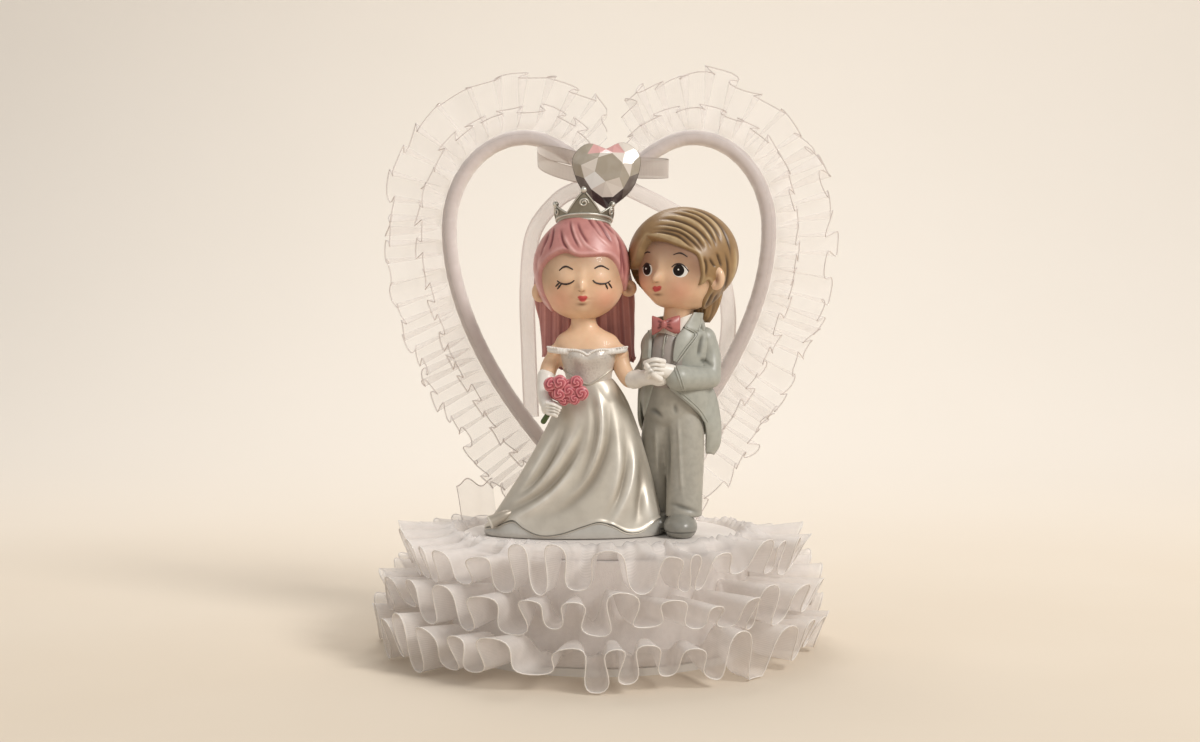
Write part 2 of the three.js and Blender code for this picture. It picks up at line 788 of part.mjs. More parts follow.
function shouldersSolid(grow = 0) {
  const { halfWidth, halfDepth, rise, neckRadius, back } = shoulders;
  const { x } = bodice;
  const y = bodice.y + back;
  const neckTop = brideHead.height - brideHead.radii[2] + neckSeat;
  return stack([
    [shouldersBottom, x, y, halfWidth * 0.88, halfDepth],
    [shouldersBottom + rise * 0.35, x, y, halfWidth, halfDepth],
    [shouldersBottom + rise * 0.75, x, y, halfWidth * 0.8, halfDepth * 0.87],
    [shouldersBottom + rise, x, y, neckRadius * 1.2, neckRadius * 1.1],
    [neckTop, x - back, y, neckRadius, neckRadius],
  ], grow);
}

function sleeveBandSolid(grow = 0) {
  const { halfWidth, halfDepth, height, drop, taper } = sleeveBand;
  const bottom = bodiceTop - drop;
  return stack([
    [bottom, bodice.x, bodice.y, halfWidth, halfDepth],
    [bottom + height, bodice.x, bodice.y, halfWidth - taper, halfDepth - taper],
  ], grow, 24);
}

const brideArm = (side, grow = 0) => {
  const { shoulder, elbow, radius } = brideArms[side];
  return limb([shoulder, elbow], radius, radius, grow);
};

const brideGlove = (side, grow = 0) => {
  const { wrist, hand, radius, handRadii } = brideGloves[side];
  const arm = limb([brideArms[side].elbow, wrist, hand], radius + gloveTaper, radius, grow);
  return join(arm, ball(hand, handRadii, grow, 12, 7));
};

function headSolid({ x, y, height, radii }, turn, grow = 0) {
  const ears = [-1, 1].map((side) => {
    const out = side * (radii[0] - 0.2);
    return ball([x + out, y + 1 - side * turn * 4, height - radii[2] * 0.32], [1.5, 2.3, 3], grow, 8, 6);
  });
  const noseTip = [x + turn * radii[0], y - radii[1] * 0.97, height - radii[2] * 0.25];
  const nose = ball(noseTip, [1, 1.1, 1], grow, 6, 5);
  return join(ball([x, y, height], radii, grow, 18, 11), nose, ...ears);
}

// A cutter that opens hair in front of a face, turned with the head.
function faceOpening(head, fringe, turn) {
  const deep = head.radii[1] * 2;
  const opening = new THREE.CylinderGeometry(1, 1, deep, 20).scale(fringe.halfWidth, 1, fringe.halfHeight);
  opening.translate(0, -deep / 2 - head.radii[1] * 0.16, fringe.height).rotateZ(turn);
  return solid(opening.translate(head.x, head.y, 0));
}

function brideHairSolid(grow = 0) {
  const { x, y, bottom, top, halfWidth, halfDepth } = brideBackHair;
  const crown = [brideHead.x, brideHead.y + brideHair.back, brideHair.height];
  const cap = ball(crown, brideHair.radii, grow, 18, 11);
  const fall = stack([
    [bottom, x, y, halfWidth * 0.86, halfDepth * 0.6],
    [bottom + (top - bottom) * 0.25, x, y, halfWidth, halfDepth * 0.9],
    [bottom + (top - bottom) * 0.6, x - 1, y - 1, halfWidth, halfDepth * 1.3],
    [top, brideHead.x, y - 3, halfWidth * 0.95, halfDepth * 1.5],
  ], grow);
  return join(cap, fall);
}

// Tiara: an upright strip bent round the front of the hair, with a tall middle peak and two side peaks
function tiaraSolid() {
  const { x, y, radius, height, root, band, step, sidePeak, middlePeak, thick, sweep } = tiara;
  const peaks = [sidePeak, 0, 0, 0, middlePeak, 0, 0, 0, sidePeak];
  const steps = peaks.length - 1;
  const grid = peaks.map((peak, i) => {
    const angle = THREE.MathUtils.lerp(-sweep, sweep, i / steps);
    const top = Math.max(peak, band + (i % 2 === 0 ? 0 : step));
    const at = (out, z) => vector(x + out * Math.sin(angle), y - out * Math.cos(angle), z);
    return [at(radius - thick / 2, height - root), at(radius, height), at(radius + thick / 2, height + top)];
  });
  return solid(sheet(grid, thick));
}

function bouquetRoses(grow = 0) {
  const { x, y, height, halfWidth, halfHeight, rose, count } = bouquet;
  const ring = Array.from({ length: count }, (_, i) => {
    const angle = (i / count) * 2 * Math.PI;
    const centre = [x + halfWidth * Math.cos(angle), y, height + halfHeight * Math.sin(angle)];
    return ball(centre, [rose, rose, rose], grow, 8, 5);
  });
  return join(ball([x, y - 1, height], [rose, rose, rose], grow, 8, 5), ...ring);
}

const bouquetStem = (grow = 0) =>
  limb([[bouquet.x, bouquet.y, bouquet.height], stem.end], stem.radius, stem.radius, grow, 8);

function bridePieces() {
  const c = clearance;
  const dress = [gownSkirt(c), bodiceSolid(c)];
  const skin = [shouldersSolid(c), sleeveBandSolid(c)];
  const sides = ["left", "right"];
  const arms = sides.map((side) => cut(brideArm(side), ...dress, ...skin));
  const gloves = sides.map((side) => cut(brideGlove(side), brideArm(side, c), ...dress, bouquetStem(c)));
  const limbs = sides.flatMap((side) => [brideArm(side, c), brideGlove(side, c)]);
  const head = headSolid(brideHead, 0);
  const grownHead = headSolid(brideHead, 0, c);
  const opening = faceOpening(brideHead, brideFringe, 0);
  const roses = cut(bouquetRoses(), ...dress, ...limbs);
  return [
    piece("bride_gown", "gown", cut(gownSkirt())),
    piece("bride_hem_band", "lace", cut(gownHemBand())),
    piece("bride_bodice", "lace", cut(bodiceSolid())),
    piece("bride_shoulders", "skin", cut(shouldersSolid(), grownHead)),
    piece("bride_sleeve_band", "lace", cut(sleeveBandSolid(), bodiceSolid(c), shouldersSolid(c))),
    piece("bride_head", "skin", cut(head)),
    piece("bride_hair", "pinkHair", cut(brideHairSolid(), grownHead, opening, ...dress, ...skin, ...limbs)),
    piece("bride_tiara", "silver", cut(tiaraSolid(), brideHairSolid(c))),
    ...sides.map((side, i) => piece("bride_arm_" + side, "skin", arms[i])),
    ...sides.map((side, i) => piece("bride_glove_" + side, "glove", gloves[i])),
    piece("bouquet_roses", "rose", roses),
    piece("bouquet_stem", "green", cut(bouquetStem(), bouquetRoses(c), ...dress)),
  ];
}

// Groom

function groomShoe(side, grow = 0) {
  const { x, y } = legs[side];
  const { halfWidth, halfLength, height, forward, sole } = shoe;
  const upper = ball([x, y - forward, sole], [halfWidth, halfLength, height - sole], grow, 16, 10);
  const deep = 30;
  return upper.subtract(box([deep, deep * 2, deep], [x, y, clearance - grow - deep / 2]));
}

function trousersSolid(grow = 0) {
  const { cuff, crotch, hipWidth, hipDepth } = trousers;
  const mix = THREE.MathUtils.lerp;
  const hipX = (legs.left.x + legs.right.x) / 2;
  const hipY = (legs.left.y + legs.right.y) / 2;
  const leg = ({ x, y, halfWidth, halfDepth }) =>
    stack([
      [cuff, x, y, halfWidth, halfDepth],
      [crotch, mix(x, hipX, 0.2), mix(y, hipY, 0.2), halfWidth, halfDepth],
      [mix(crotch, groomWaist, 0.8), mix(x, hipX, 0.4), mix(y, hipY, 0.5), halfWidth, halfDepth],
    ], grow, 16);
  const hip = stack([
    [crotch, hipX, hipY, hipWidth * 0.7, hipDepth * 0.7],
    [mix(crotch, groomWaist, 0.36), hipX, hipY, hipWidth, hipDepth],
    [groomWaist, hipX, hipY, hipWidth, hipDepth],
  ], grow, 18);
  return join(leg(legs.left), leg(legs.right), hip);
}

function waistcoatSolid(grow = 0) {
  const { x, y, bottom, top, halfWidth, halfDepth } = waistcoat;
  return stack([
    [bottom, x + 0.8, y + 1, halfWidth * 1.18, halfDepth * 0.9],
    [(bottom + top) / 2, x, y, halfWidth * 1.07, halfDepth],
    [THREE.MathUtils.lerp(bottom, top, 0.86), x, y + 0.6, halfWidth * 0.9, halfDepth * 0.9],
    [top, x + 1, y + 1.4, halfWidth * 0.64, halfDepth * 0.67],
  ], grow, 18);
}

function collarSolid(grow = 0) {
  const { x, y, bottom, radius, taper } = collar;
  const top = groomHead.height - groomHead.radii[2] + neckSeat;
  return stack([
    [bottom, x, y, radius, radius],
    [top, x + taper, y, radius - taper, radius - taper],
  ], grow, 16);
}

// The coat's body, with tails that fall behind a front cut away on a slant.
function coatSolid(grow = 0) {
  const { x, y, hem, shoulder, halfWidth, halfDepth, neckRise } = coat;
  const { tailBottom, tailWidth, tailDepth, tailBack, cutaway } = coat;
  const mix = THREE.MathUtils.lerp;
  const body = stack([
    [hem, x + 0.6, y, halfWidth, halfDepth * 1.06],
    [mix(hem, shoulder, 0.4), x, y, halfWidth * 0.97, halfDepth],
    [shoulder - neckRise, x, y, halfWidth, halfDepth],
    [shoulder, x, y, halfWidth * 0.86, halfDepth * 0.86],
    [shoulder + neckRise, x - 0.4, y - 0.6, halfWidth / 2, halfDepth * 0.69],
  ], grow, 24);
  const tails = stack([
    [tailBottom, x + 2, y + tailBack, tailWidth * 0.88, tailDepth * 0.57],
    [mix(tailBottom, hem, 0.6), x + 1.4, y + tailBack / 2, tailWidth, tailDepth],
    [hem + 2, x + 0.8, y, tailWidth * 0.91, halfDepth * 1.06],
  ], grow, 24);
  const reach = tailWidth * 7; // larger than the coat
  const slant = new THREE.BoxGeometry(reach, reach, reach).translate(0, -reach / 2 - grow, 0);
  slant.rotateX(cutaway);
  const front = solid(slant.translate(x, y + tailBack * 0.4, (hem + tailBottom) / 2));
  return join(body, tails.subtract(front));
}

function bowTieSolid(grow = 0) {
  const { x, height, halfWidth, halfHeight, halfDepth } = bowTie;
  const y = collar.y - collar.radius - halfDepth / 2; // bedded in the collar, which is then cut from it
  const sections = [
    [-1, 1, 0.7],
    [-0.25, 0.45, 0.8],
    [0, 0.62, 1.1],
    [0.25, 0.45, 0.8],
    [1, 1, 0.7],
  ];
  const sides = 10;
  const rings = sections.map(([out, tall, deep]) =>
    Array.from({ length: sides }, (_, j) => {
      const angle = (j / sides) * 2 * Math.PI;
      const z = height + (halfHeight * tall + grow) * Math.sin(angle);
      return vector(x + out * (halfWidth + grow), y + (halfDepth * deep + grow) * Math.cos(angle), z);
    }),
  );
  return solid(loft(rings));
}

const groomSleeve = (side, grow = 0) => {
  const { shoulder, elbow, wrist, radius } = sleeves[side];
  return limb([shoulder, elbow, wrist], radius, radius - sleeveTaper, grow);
};

const groomHand = (grow = 0) => {
  const { x, y, height, radii } = groomGlove;
  return ball([x, y, height], radii, grow, 12, 8);
};

function groomHairSolid(grow = 0) {
  const { x, y, bottom, top, halfWidth, halfDepth } = groomNape;
  const centre = [groomHead.x + groomHair.x, groomHead.y + groomHair.back, groomHair.height];
  const nape = stack([
    [bottom, x + 1, y, halfWidth * 0.5, halfDepth * 0.5],
    [bottom + (top - bottom) * 0.4, x, y, halfWidth * 0.86, halfDepth * 0.9],
    [top, x, y, halfWidth, halfDepth],
  ], grow);
  return join(ball(centre, groomHair.radii, grow, 18, 11), nape);
}

function groomPieces() {
  const c = clearance;
  const dress = [gownSkirt(c), gownHemBand(c)];
  const brideSide = [brideHairSolid(c), brideArm("right", c), brideGlove("right", c)];
  const grownHead = headSolid(groomHead, groomHead.turn, c);
  const shoes = ["left", "right"].map((side) => cut(groomShoe(side), ...dress));
  const grownShoes = ["left", "right"].map((side) => groomShoe(side, c));
  const opening = faceOpening(groomHead, groomFringe, groomHead.turn);
  const clothes = [trousersSolid(c), waistcoatSolid(c), collarSolid(c)];
  const inner = [coatSolid(c), ...clothes];
  const brideHeadGrown = headSolid(brideHead, 0, c);
  const rightSleeve = cut(groomSleeve("right"), ...inner, brideGlove("right", c));
  const leftSleeve = cut(groomSleeve("left"), ...inner, ...brideSide, ...dress);
  const hand = cut(groomHand(), ...brideSide, ...inner, groomSleeve("right", c));
  const hair = cut(groomHairSolid(), grownHead, opening, ...inner, brideHairSolid(c), brideHeadGrown);
  return [
    piece("groom_shoe_left", "shoe", shoes[0]),
    piece("groom_shoe_right", "shoe", shoes[1]),
    piece("groom_trousers", "trousers", cut(trousersSolid(), ...grownShoes, ...dress)),
    piece("groom_vest", "coat", cut(waistcoatSolid(), trousersSolid(c), ...brideSide)),
    piece("groom_shirt_collar", "shirt", cut(collarSolid(), grownHead, waistcoatSolid(c))),
    piece("groom_coat", "coat", cut(coatSolid(), ...clothes, grownHead, ...dress, ...brideSide)),
    piece("groom_bow_tie", "tie", cut(bowTieSolid(), ...inner, grownHead)),
    piece("groom_head", "skin", cut(headSolid(groomHead, groomHead.turn), brideHairSolid(c), brideHeadGrown)),
    piece("groom_hair", "brownHair", hair),
    piece("groom_sleeve_left", "coat", leftSleeve),
    piece("groom_sleeve_right", "coat", rightSleeve),
    piece("groom_glove", "glove", hand),
  ];
}

const topper = new THREE.Group();
topper.add(
  group(0, 0, 0, basePieces()),
  group(archX, archY, baseTop, archPieces()),
  group(0, 0, baseTop, [...bridePieces(), ...groomPieces()]),
);

export default topper;
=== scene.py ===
"""Looks of the wedding cake topper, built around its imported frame.

Shapes are drawn in millimetres in the frame's own axes, and become metres when a piece is made.
"""
import math
import random

import bmesh
import bpy
import numpy as np
from mathutils import Matrix, Vector
from mathutils.bvhtree import BVHTree
from mathutils.geometry import interpolate_bezier


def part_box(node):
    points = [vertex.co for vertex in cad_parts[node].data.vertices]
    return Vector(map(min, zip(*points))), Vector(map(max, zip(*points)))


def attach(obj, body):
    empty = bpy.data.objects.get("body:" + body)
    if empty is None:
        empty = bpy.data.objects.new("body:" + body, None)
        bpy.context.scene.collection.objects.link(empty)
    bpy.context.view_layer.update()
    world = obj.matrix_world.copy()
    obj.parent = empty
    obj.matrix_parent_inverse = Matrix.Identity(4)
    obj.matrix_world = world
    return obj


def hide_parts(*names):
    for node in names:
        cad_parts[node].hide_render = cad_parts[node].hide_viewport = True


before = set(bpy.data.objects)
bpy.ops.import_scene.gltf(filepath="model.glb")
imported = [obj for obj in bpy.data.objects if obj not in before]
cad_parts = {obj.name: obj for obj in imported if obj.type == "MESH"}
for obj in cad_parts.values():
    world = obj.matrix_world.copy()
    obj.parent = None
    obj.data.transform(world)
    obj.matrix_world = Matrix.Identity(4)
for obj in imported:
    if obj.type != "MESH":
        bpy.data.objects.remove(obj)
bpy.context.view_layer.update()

MM = 0.001
TURN = 2 * math.pi


def box_mm(node):
    low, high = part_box(node)
    return low / MM, high / MM


# Places that come from the frame
BASE_TOP = box_mm("base_top_disc")[1].z
CORE_RADIUS, CORE_TOP = box_mm("base_core")[1].xz
BOARD_TOP = box_mm("base_board")[1].z
WIRE_LOW, WIRE_HIGH = box_mm("arch_wire")
ARCH_FOOT = Vector(((WIRE_LOW.x + WIRE_HIGH.x) / 2, (WIRE_LOW.y + WIRE_HIGH.y) / 2, BASE_TOP))
DISC_RADIUS = box_mm("base_top_disc")[1].x

# The photograph's camera, and its picture in pixels
CAMERA_PLACE = Vector((0, -450, 94.5))
CAMERA_PITCH = math.radians(1.437)
PICTURE = Vector((1200, 742))
FOCAL_PIXELS = 1475
SENSOR = 36

CAMERA_AHEAD = Vector((0, math.cos(CAMERA_PITCH), -math.sin(CAMERA_PITCH)))
CAMERA_UP = Vector((0, math.sin(CAMERA_PITCH), math.cos(CAMERA_PITCH)))


def pixels_of(points):
    """Where points of the frame, an array of rows, fall in the photograph."""
    away = points - np.array(CAMERA_PLACE)
    depth = away @ np.array(CAMERA_AHEAD)
    across = PICTURE.x / 2 + FOCAL_PIXELS * away[:, 0] / depth
    down = PICTURE.y / 2 - FOCAL_PIXELS * (away @ np.array(CAMERA_UP)) / depth
    return np.stack([across, down], axis=1)


def sight_line(across, down):
    """The direction in which the photograph's camera sees a pixel."""
    right = (across - PICTURE.x / 2) / FOCAL_PIXELS
    up = (PICTURE.y / 2 - down) / FOCAL_PIXELS
    return (CAMERA_AHEAD + Vector((1, 0, 0)) * right + CAMERA_UP * up).normalized()


# Mesh helpers

def mix(low, high, share):
    return low + (high - low) * share


def ease(low, high, value):
    """0 below low, 1 above high and a smooth step between; works on numbers and arrays."""
    share = np.clip((value - low) / (high - low), 0, 1)
    return share * share * (3 - 2 * share)


def grid(columns, rows, place, closed=False):
    """A sheet of columns by rows faces that place(u, v) puts in space; closed joins its two ends."""
    bm = bmesh.new()
    bm.loops.layers.uv.new("UVMap")
    bmesh.ops.create_grid(bm, x_segments=columns, y_segments=rows, size=0.5, calc_uvs=True)
    for vert in bm.verts:
        vert.co = place(vert.co.x + 0.5, vert.co.y + 0.5)
    if closed:
        weld(bm, 1e-4)
    return bm


def measure_cloth(bm, length, width, both_edges=False):
    """Rewrites a grid's UV map in millimetres: along the cloth, and in from its hem or its nearer edge."""
    layer = bm.loops.layers.uv.active
    for face in bm.faces:
        for loop in face.loops:
            along, across = loop[layer].uv
            inward = (0.5 - abs(across - 0.5)) if both_edges else 1 - across
            loop[layer].uv = (along * length, inward * width)


def face_outwards(bm):
    bmesh.ops.recalc_face_normals(bm, faces=bm.faces)


def weld(bm, gap):
    """Joins points that lie closer than the gap."""
    bmesh.ops.remove_doubles(bm, verts=bm.verts, dist=gap)


def close_ends(bm):
    rims = [edge for edge in bm.edges if edge.is_boundary]
    bmesh.ops.holes_fill(bm, edges=rims, sides=0)
    face_outwards(bm)


def ball(bm, centre, radii, turn=0.0, detail=4):
    place = Matrix.Translation(centre) @ Matrix.Rotation(turn, 4, "Z") @ Matrix.Diagonal((*radii, 1))
    return bmesh.ops.create_icosphere(bm, subdivisions=detail, radius=1, matrix=place)["verts"]


def add_thread(bm, points, radius, closed=False, taper=None, sides=2):
    """Adds a thin round strand along the points; taper gives each point's share of the radius."""
    curve = bpy.data.curves.new("strand", "CURVE")
    curve.dimensions = "3D"
    curve.bevel_depth = radius
    curve.bevel_resolution = sides
    curve.use_fill_caps = not closed
    spline = curve.splines.new("POLY")
    spline.points.add(len(points) - 1)
    for i, (knot, point) in enumerate(zip(spline.points, points)):
        knot.co = (*point, 1)
        knot.radius = taper[i] if taper else 1
    spline.use_cyclic_u = closed
    strand = bpy.data.objects.new("strand", curve)
    mesh = bpy.data.meshes.new_from_object(strand)
    bm.from_mesh(mesh)
    bpy.data.meshes.remove(mesh)
    bpy.data.curves.remove(curve)


def merge(bm, part):
    """Adds a part to a mesh, and lets go of the part."""
    mesh = bpy.data.meshes.new("part")
    part.to_mesh(mesh)
    part.free()
    bm.from_mesh(mesh)
    bpy.data.meshes.remove(mesh)


def put(name, data):
    """A new object in the scene, for a mesh, a lamp or a camera."""
    thing = bpy.data.objects.new(name, data)
    bpy.context.scene.collection.objects.link(thing)
    return thing


def made(name, bm, material, body, nodes=(), slot=None, at=(0, 0, 0), smooth=True):
    """Turns a bmesh into a piece of the object, in metres, riding on a body."""
    mesh = bpy.data.meshes.new(name)
    bm.to_mesh(mesh)
    bm.free()
    mesh.transform(Matrix.Scale(MM, 4) @ Matrix.Translation(at))
    mesh.materials.append(material)
    mesh.polygons.foreach_set("use_smooth", [smooth] * len(mesh.polygons))
    piece = put(name, mesh)
    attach(piece, body)
    if nodes:
        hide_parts(*nodes)
    return piece


def arc_length(points):
    return sum((b - a).length for a, b in zip(points, points[1:]))


def through(points, steps):
    """A smooth line through the points, with that many steps between each two."""
    ends = [points[0] * 2 - points[1], *points, points[-1] * 2 - points[-2]]
    line = []
    for before, start, end, after in zip(ends, ends[1:], ends[2:], ends[3:]):
        out, back = start + (end - before) / 6, end - (after - start) / 6
        line += interpolate_bezier(start, out, back, end, steps + 1)[:-1]
    return [*line, points[-1]]


class Track:
    """A line that can be asked for its point and direction at any share of its length."""

    def __init__(self, points):
        self.points = np.array([tuple(p) for p in points])
        steps = np.linalg.norm(np.diff(self.points, axis=0), axis=1)
        self.reached = np.concatenate([[0], np.cumsum(steps)])
        self.length = self.reached[-1]

    def at(self, share):
        far = share * self.length
        return Vector([np.interp(far, self.reached, self.points[:, k]) for k in range(3)])

    def ahead(self, share, step=0.004):
        return (self.at(min(share + step, 1)) - self.at(max(share - step, 0))).normalized()


def meander(turns, overhang, square):
    """A folding wave: how far along it has come, in turns, and its swing from -1 to 1."""
    phase = turns * TURN
    along = turns - overhang * math.sin(2 * phase) / TURN
    return along, math.tanh(square * math.sin(phase)) / math.tanh(square)


def ripple(seed, count, size):
    """A smooth closed run of random values from -size to size, read by a share of its length."""
    dice = random.Random(seed)
    values = [dice.uniform(-size, size) for _ in range(count)]

    def read(share):
        place = (share % 1) * count
        step = place - math.floor(place)
        start = values[int(place) % count]
        end = values[(int(place) + 1) % count]
        return mix(start, end, step * step * (3 - 2 * step))

    return read


# Material helpers

def colour(red, green, blue, alpha=1.0):
    """A colour given as display values from 0 to 255."""
    def linear(value):
        share = value / 255
        return share / 12.92 if share <= 0.04045 else ((share + 0.055) / 1.055) ** 2.4
    return (linear(red), linear(green), linear(blue), alpha)


# A colour Mix node's sockets, which share their names with its other kinds
FIRST_COLOUR, SECOND_COLOUR, MIXED_COLOUR = 6, 7, 2


def feed(tree, socket, value):
    """Gives a socket a link from another socket, or a constant."""
    if isinstance(value, bpy.types.NodeSocket):
        tree.links.new(value, socket)
    else:
        socket.default_value = value


def math_step(tree, operation, *values):
    """One step of maths in a node tree, on sockets and numbers."""
    step = tree.nodes.new("ShaderNodeMath")
    step.operation = operation
    for socket, value in zip(step.inputs, values):
        feed(tree, socket, value)
    return step.outputs["Value"]


class Finish:
    """A material in the making: its node tree and its one Principled shader."""

    def __init__(self, name, **sockets):
        self.material = bpy.data.materials.new(name)
        self.material.use_nodes = True
        self.tree = self.material.node_tree
        self.shader = self.tree.nodes["Principled BSDF"]
        for socket, value in sockets.items():
            self.shader.inputs[socket.replace("_", " ")].default_value = value

    def node(self, kind, **settings):
        made_node = self.tree.nodes.new(kind)
        for setting, value in settings.items():
            setattr(made_node, setting, value)
        return made_node

    def link(self, source, target):
        self.tree.links.new(source, target)

    def shader_in(self, socket):
        return self.shader.inputs[socket]

    def paint(self, source):
        self.link(source, self.shader_in("Base Color"))

    def object_place(self):
        return self.node("ShaderNodeTexCoord").outputs["Object"]

    def noise(self, scale, detail=3.0, place=None):
        texture = self.node("ShaderNodeTexNoise")
        texture.inputs["Scale"].default_value = scale
        texture.inputs["Detail"].default_value = detail
        self.link(place or self.object_place(), texture.inputs["Vector"])
        return texture.outputs["Fac"]

    def ramp(self, value, stops):
        """Colours along a value: stops are (place, colour)."""
        ramp = self.node("ShaderNodeValToRGB")
        elements = ramp.color_ramp.elements
        elements[0].position, elements[0].color = stops[0]
        elements[1].position, elements[1].color = stops[-1]
        for place, shade in stops[1:-1]:
            elements.new(place).color = shade
        self.link(value, ramp.inputs["Fac"])
        return ramp.outputs["Color"]

    def blend(self, share, first, second):
        """Mixes two colours, each a colour or a socket."""
        mixer = self.node("ShaderNodeMix", data_type="RGBA")
        for socket, value in (("Factor", share), (FIRST_COLOUR, first), (SECOND_COLOUR, second)):
            feed(self.tree, mixer.inputs[socket], value)
        return mixer.outputs[MIXED_COLOUR]

    def math(self, operation, *values):
        return math_step(self.tree, operation, *values)

    def range(self, value, low, high, to_low=0.0, to_high=1.0):
        step = self.node("ShaderNodeMapRange", interpolation_type="SMOOTHSTEP")
        limits = {"From Min": low, "From Max": high, "To Min": to_low, "To Max": to_high}
        for name, number in limits.items():
            step.inputs[name].default_value = number
        self.link(value, step.inputs["Value"])
        return step.outputs["Result"]

    def attribute(self, name):
        return self.node("ShaderNodeAttribute", attribute_name=name).outputs["Fac"]

    def bump(self, height, distance, strength=1.0):
        step = self.node("ShaderNodeBump")
        step.inputs["Strength"].default_value = strength
        step.inputs["Distance"].default_value = distance
        self.link(height, step.inputs["Height"])
        self.link(step.outputs["Normal"], self.shader_in("Normal"))

    def use_group(self, group, **inputs):
        used = self.node("ShaderNodeGroup", node_tree=group)
        for name, value in inputs.items():
            feed(self.tree, used.inputs[name.replace("_", " ")], value)
        return used.outputs


def new_group(name, inputs, outputs):
    """An empty shader group with its sockets: lists of (name, kind)."""
    group = bpy.data.node_groups.new(name, "ShaderNodeTree")
    for in_out, sockets in (("INPUT", inputs), ("OUTPUT", outputs)):
        for socket, kind in sockets:
            group.interface.new_socket(name=socket, in_out=in_out, socket_type="NodeSocket" + kind)
    return group, group.nodes.new("NodeGroupInput"), group.nodes.new("NodeGroupOutput")


def weave_group():
    """Crossing threads on a UV map in millimetres: their height, and how much of the cloth they cover."""
    group, given, result = new_group(
        "cloth weave", [("Map", "Vector"), ("Pitch", "Float")], [("Height", "Float"), ("Cover", "Float")])
    nodes, links = group.nodes, group.links
    split = nodes.new("ShaderNodeSeparateXYZ")
    links.new(given.outputs["Map"], split.inputs[0])
    waves = []
    for axis in ("X", "Y"):
        count = math_step(group, "DIVIDE", split.outputs[axis], given.outputs["Pitch"])
        waves.append(math_step(group, "SINE", math_step(group, "MULTIPLY", count, TURN)))
    cross = math_step(group, "MAXIMUM", *waves)
    links.new(cross, result.inputs["Height"])
    cover = nodes.new("ShaderNodeMapRange")
    cover.inputs["From Min"].default_value = -1
    links.new(cross, cover.inputs["Value"])
    links.new(cover.outputs["Result"], result.inputs["Cover"])
    return group


def cast_paint_group():
    """Brushed paint on a casting: a mottle of two sizes and the fine height of the brush."""
    group, given, result = new_group(
        "cast paint", [("Place", "Vector"), ("Scale", "Float")], [("Mottle", "Float"), ("Height", "Float")])
    nodes, links = group.nodes, group.links
    sizes = []
    for times, detail in ((1, 4), (7, 2)):
        scale = math_step(group, "MULTIPLY", given.outputs["Scale"], times)
        texture = nodes.new("ShaderNodeTexNoise")
        texture.inputs["Detail"].default_value = detail
        links.new(given.outputs["Place"], texture.inputs["Vector"])
        links.new(scale, texture.inputs["Scale"])
        sizes.append(texture.outputs["Fac"])
    links.new(sizes[0], result.inputs["Mottle"])
    links.new(sizes[1], result.inputs["Height"])
    return group


WEAVE = weave_group()
CAST_PAINT = cast_paint_group()


# Cloth finishes

def sheer_cloth(name, body, hem, veil, edge_width, edge_veil, pitch):
    """Organza: see-through between its threads, denser at its edge. The UV map is in millimetres."""
    finish = Finish(name, Roughness=0.55, Sheen_Weight=0.35, Sheen_Roughness=0.4, Specular_IOR_Level=0.35)
    uv = finish.node("ShaderNodeTexCoord").outputs["UV"]
    weave = finish.use_group(WEAVE, Map=uv, Pitch=pitch)
    split = finish.node("ShaderNodeSeparateXYZ")
    finish.link(uv, split.inputs[0])
    edge = finish.range(split.outputs["Y"], edge_width * 0.7, edge_width, 1, 0)
    mottle = finish.range(finish.noise(160, 2), 0.3, 0.7, 0.92, 1.06)
    thin = finish.math("MULTIPLY", finish.range(weave["Cover"], 0, 1, veil * 0.85, veil * 1.05), mottle)
    dense = finish.math("MULTIPLY", edge, edge_veil)
    finish.link(finish.math("MAXIMUM", thin, dense), finish.shader_in("Alpha"))
    finish.paint(finish.blend(edge, colour(*body), colour(*hem)))
    finish.bump(weave["Height"], 0.00004, 0.4)
    return finish.material


THREAD_SHADE = 0.82  # the darker of a thread's two tones, as a share of the other


def edge_thread(name, tone, roughness=0.35):
    finish = Finish(name, Roughness=roughness, Specular_IOR_Level=0.6, Coat_Weight=0.3)
    mottle = finish.noise(900, 2)
    full = colour(*tone)
    darker = tuple(value * THREAD_SHADE for value in full[:3]) + (1,)
    finish.paint(finish.blend(mottle, darker, full))
    return finish.material


def satin_wrap():
    """Ribbon wound on the arch: painted light on the heart's inner side, painted mauve shade under the
    frills' gathers.
    """
    finish = Finish("satin wrap", Roughness=0.42, Sheen_Weight=0.4, Specular_IOR_Level=0.4)
    uv = finish.node("ShaderNodeTexCoord").outputs["UV"]
    split = finish.node("ShaderNodeSeparateXYZ")
    finish.link(uv, split.inputs[0])
    # Painted light and shade round the tube: paler on the heart's inner side, mauve shade under the frills'
    # gathers
    around = finish.ramp(split.outputs["Y"], [
        (0.0, colour(214, 201, 196)),
        (0.2, colour(206, 194, 189)),
        (0.5, colour(246, 239, 234)),
        (0.7, colour(218, 206, 201)),
        (0.84, colour(190, 177, 172)),
        (1.0, colour(214, 201, 196)),
    ])
    mottle = finish.range(finish.noise(240, 4), 0.3, 0.75, 0, 0.6)
    finish.paint(finish.blend(mottle, around, colour(208, 196, 191)))
    threads = finish.node("ShaderNodeTexWave", bands_direction="X")
    threads.inputs["Scale"].default_value = 60
    threads.inputs["Distortion"].default_value = 1.5
    finish.link(uv, threads.inputs["Vector"])
    finish.bump(threads.outputs["Fac"], 0.00005, 0.35)
    return finish.material


def plain_cover(name, low, high, scale, roughness, height):
    """Card, foam and flat satin: a mottled colour with a fine height."""
    finish = Finish(name, Roughness=roughness)
    paint = finish.use_group(CAST_PAINT, Place=finish.object_place(), Scale=scale)
    finish.paint(finish.blend(paint["Mottle"], colour(*low), colour(*high)))
    finish.bump(paint["Height"], height, 0.5)
    return finish.material


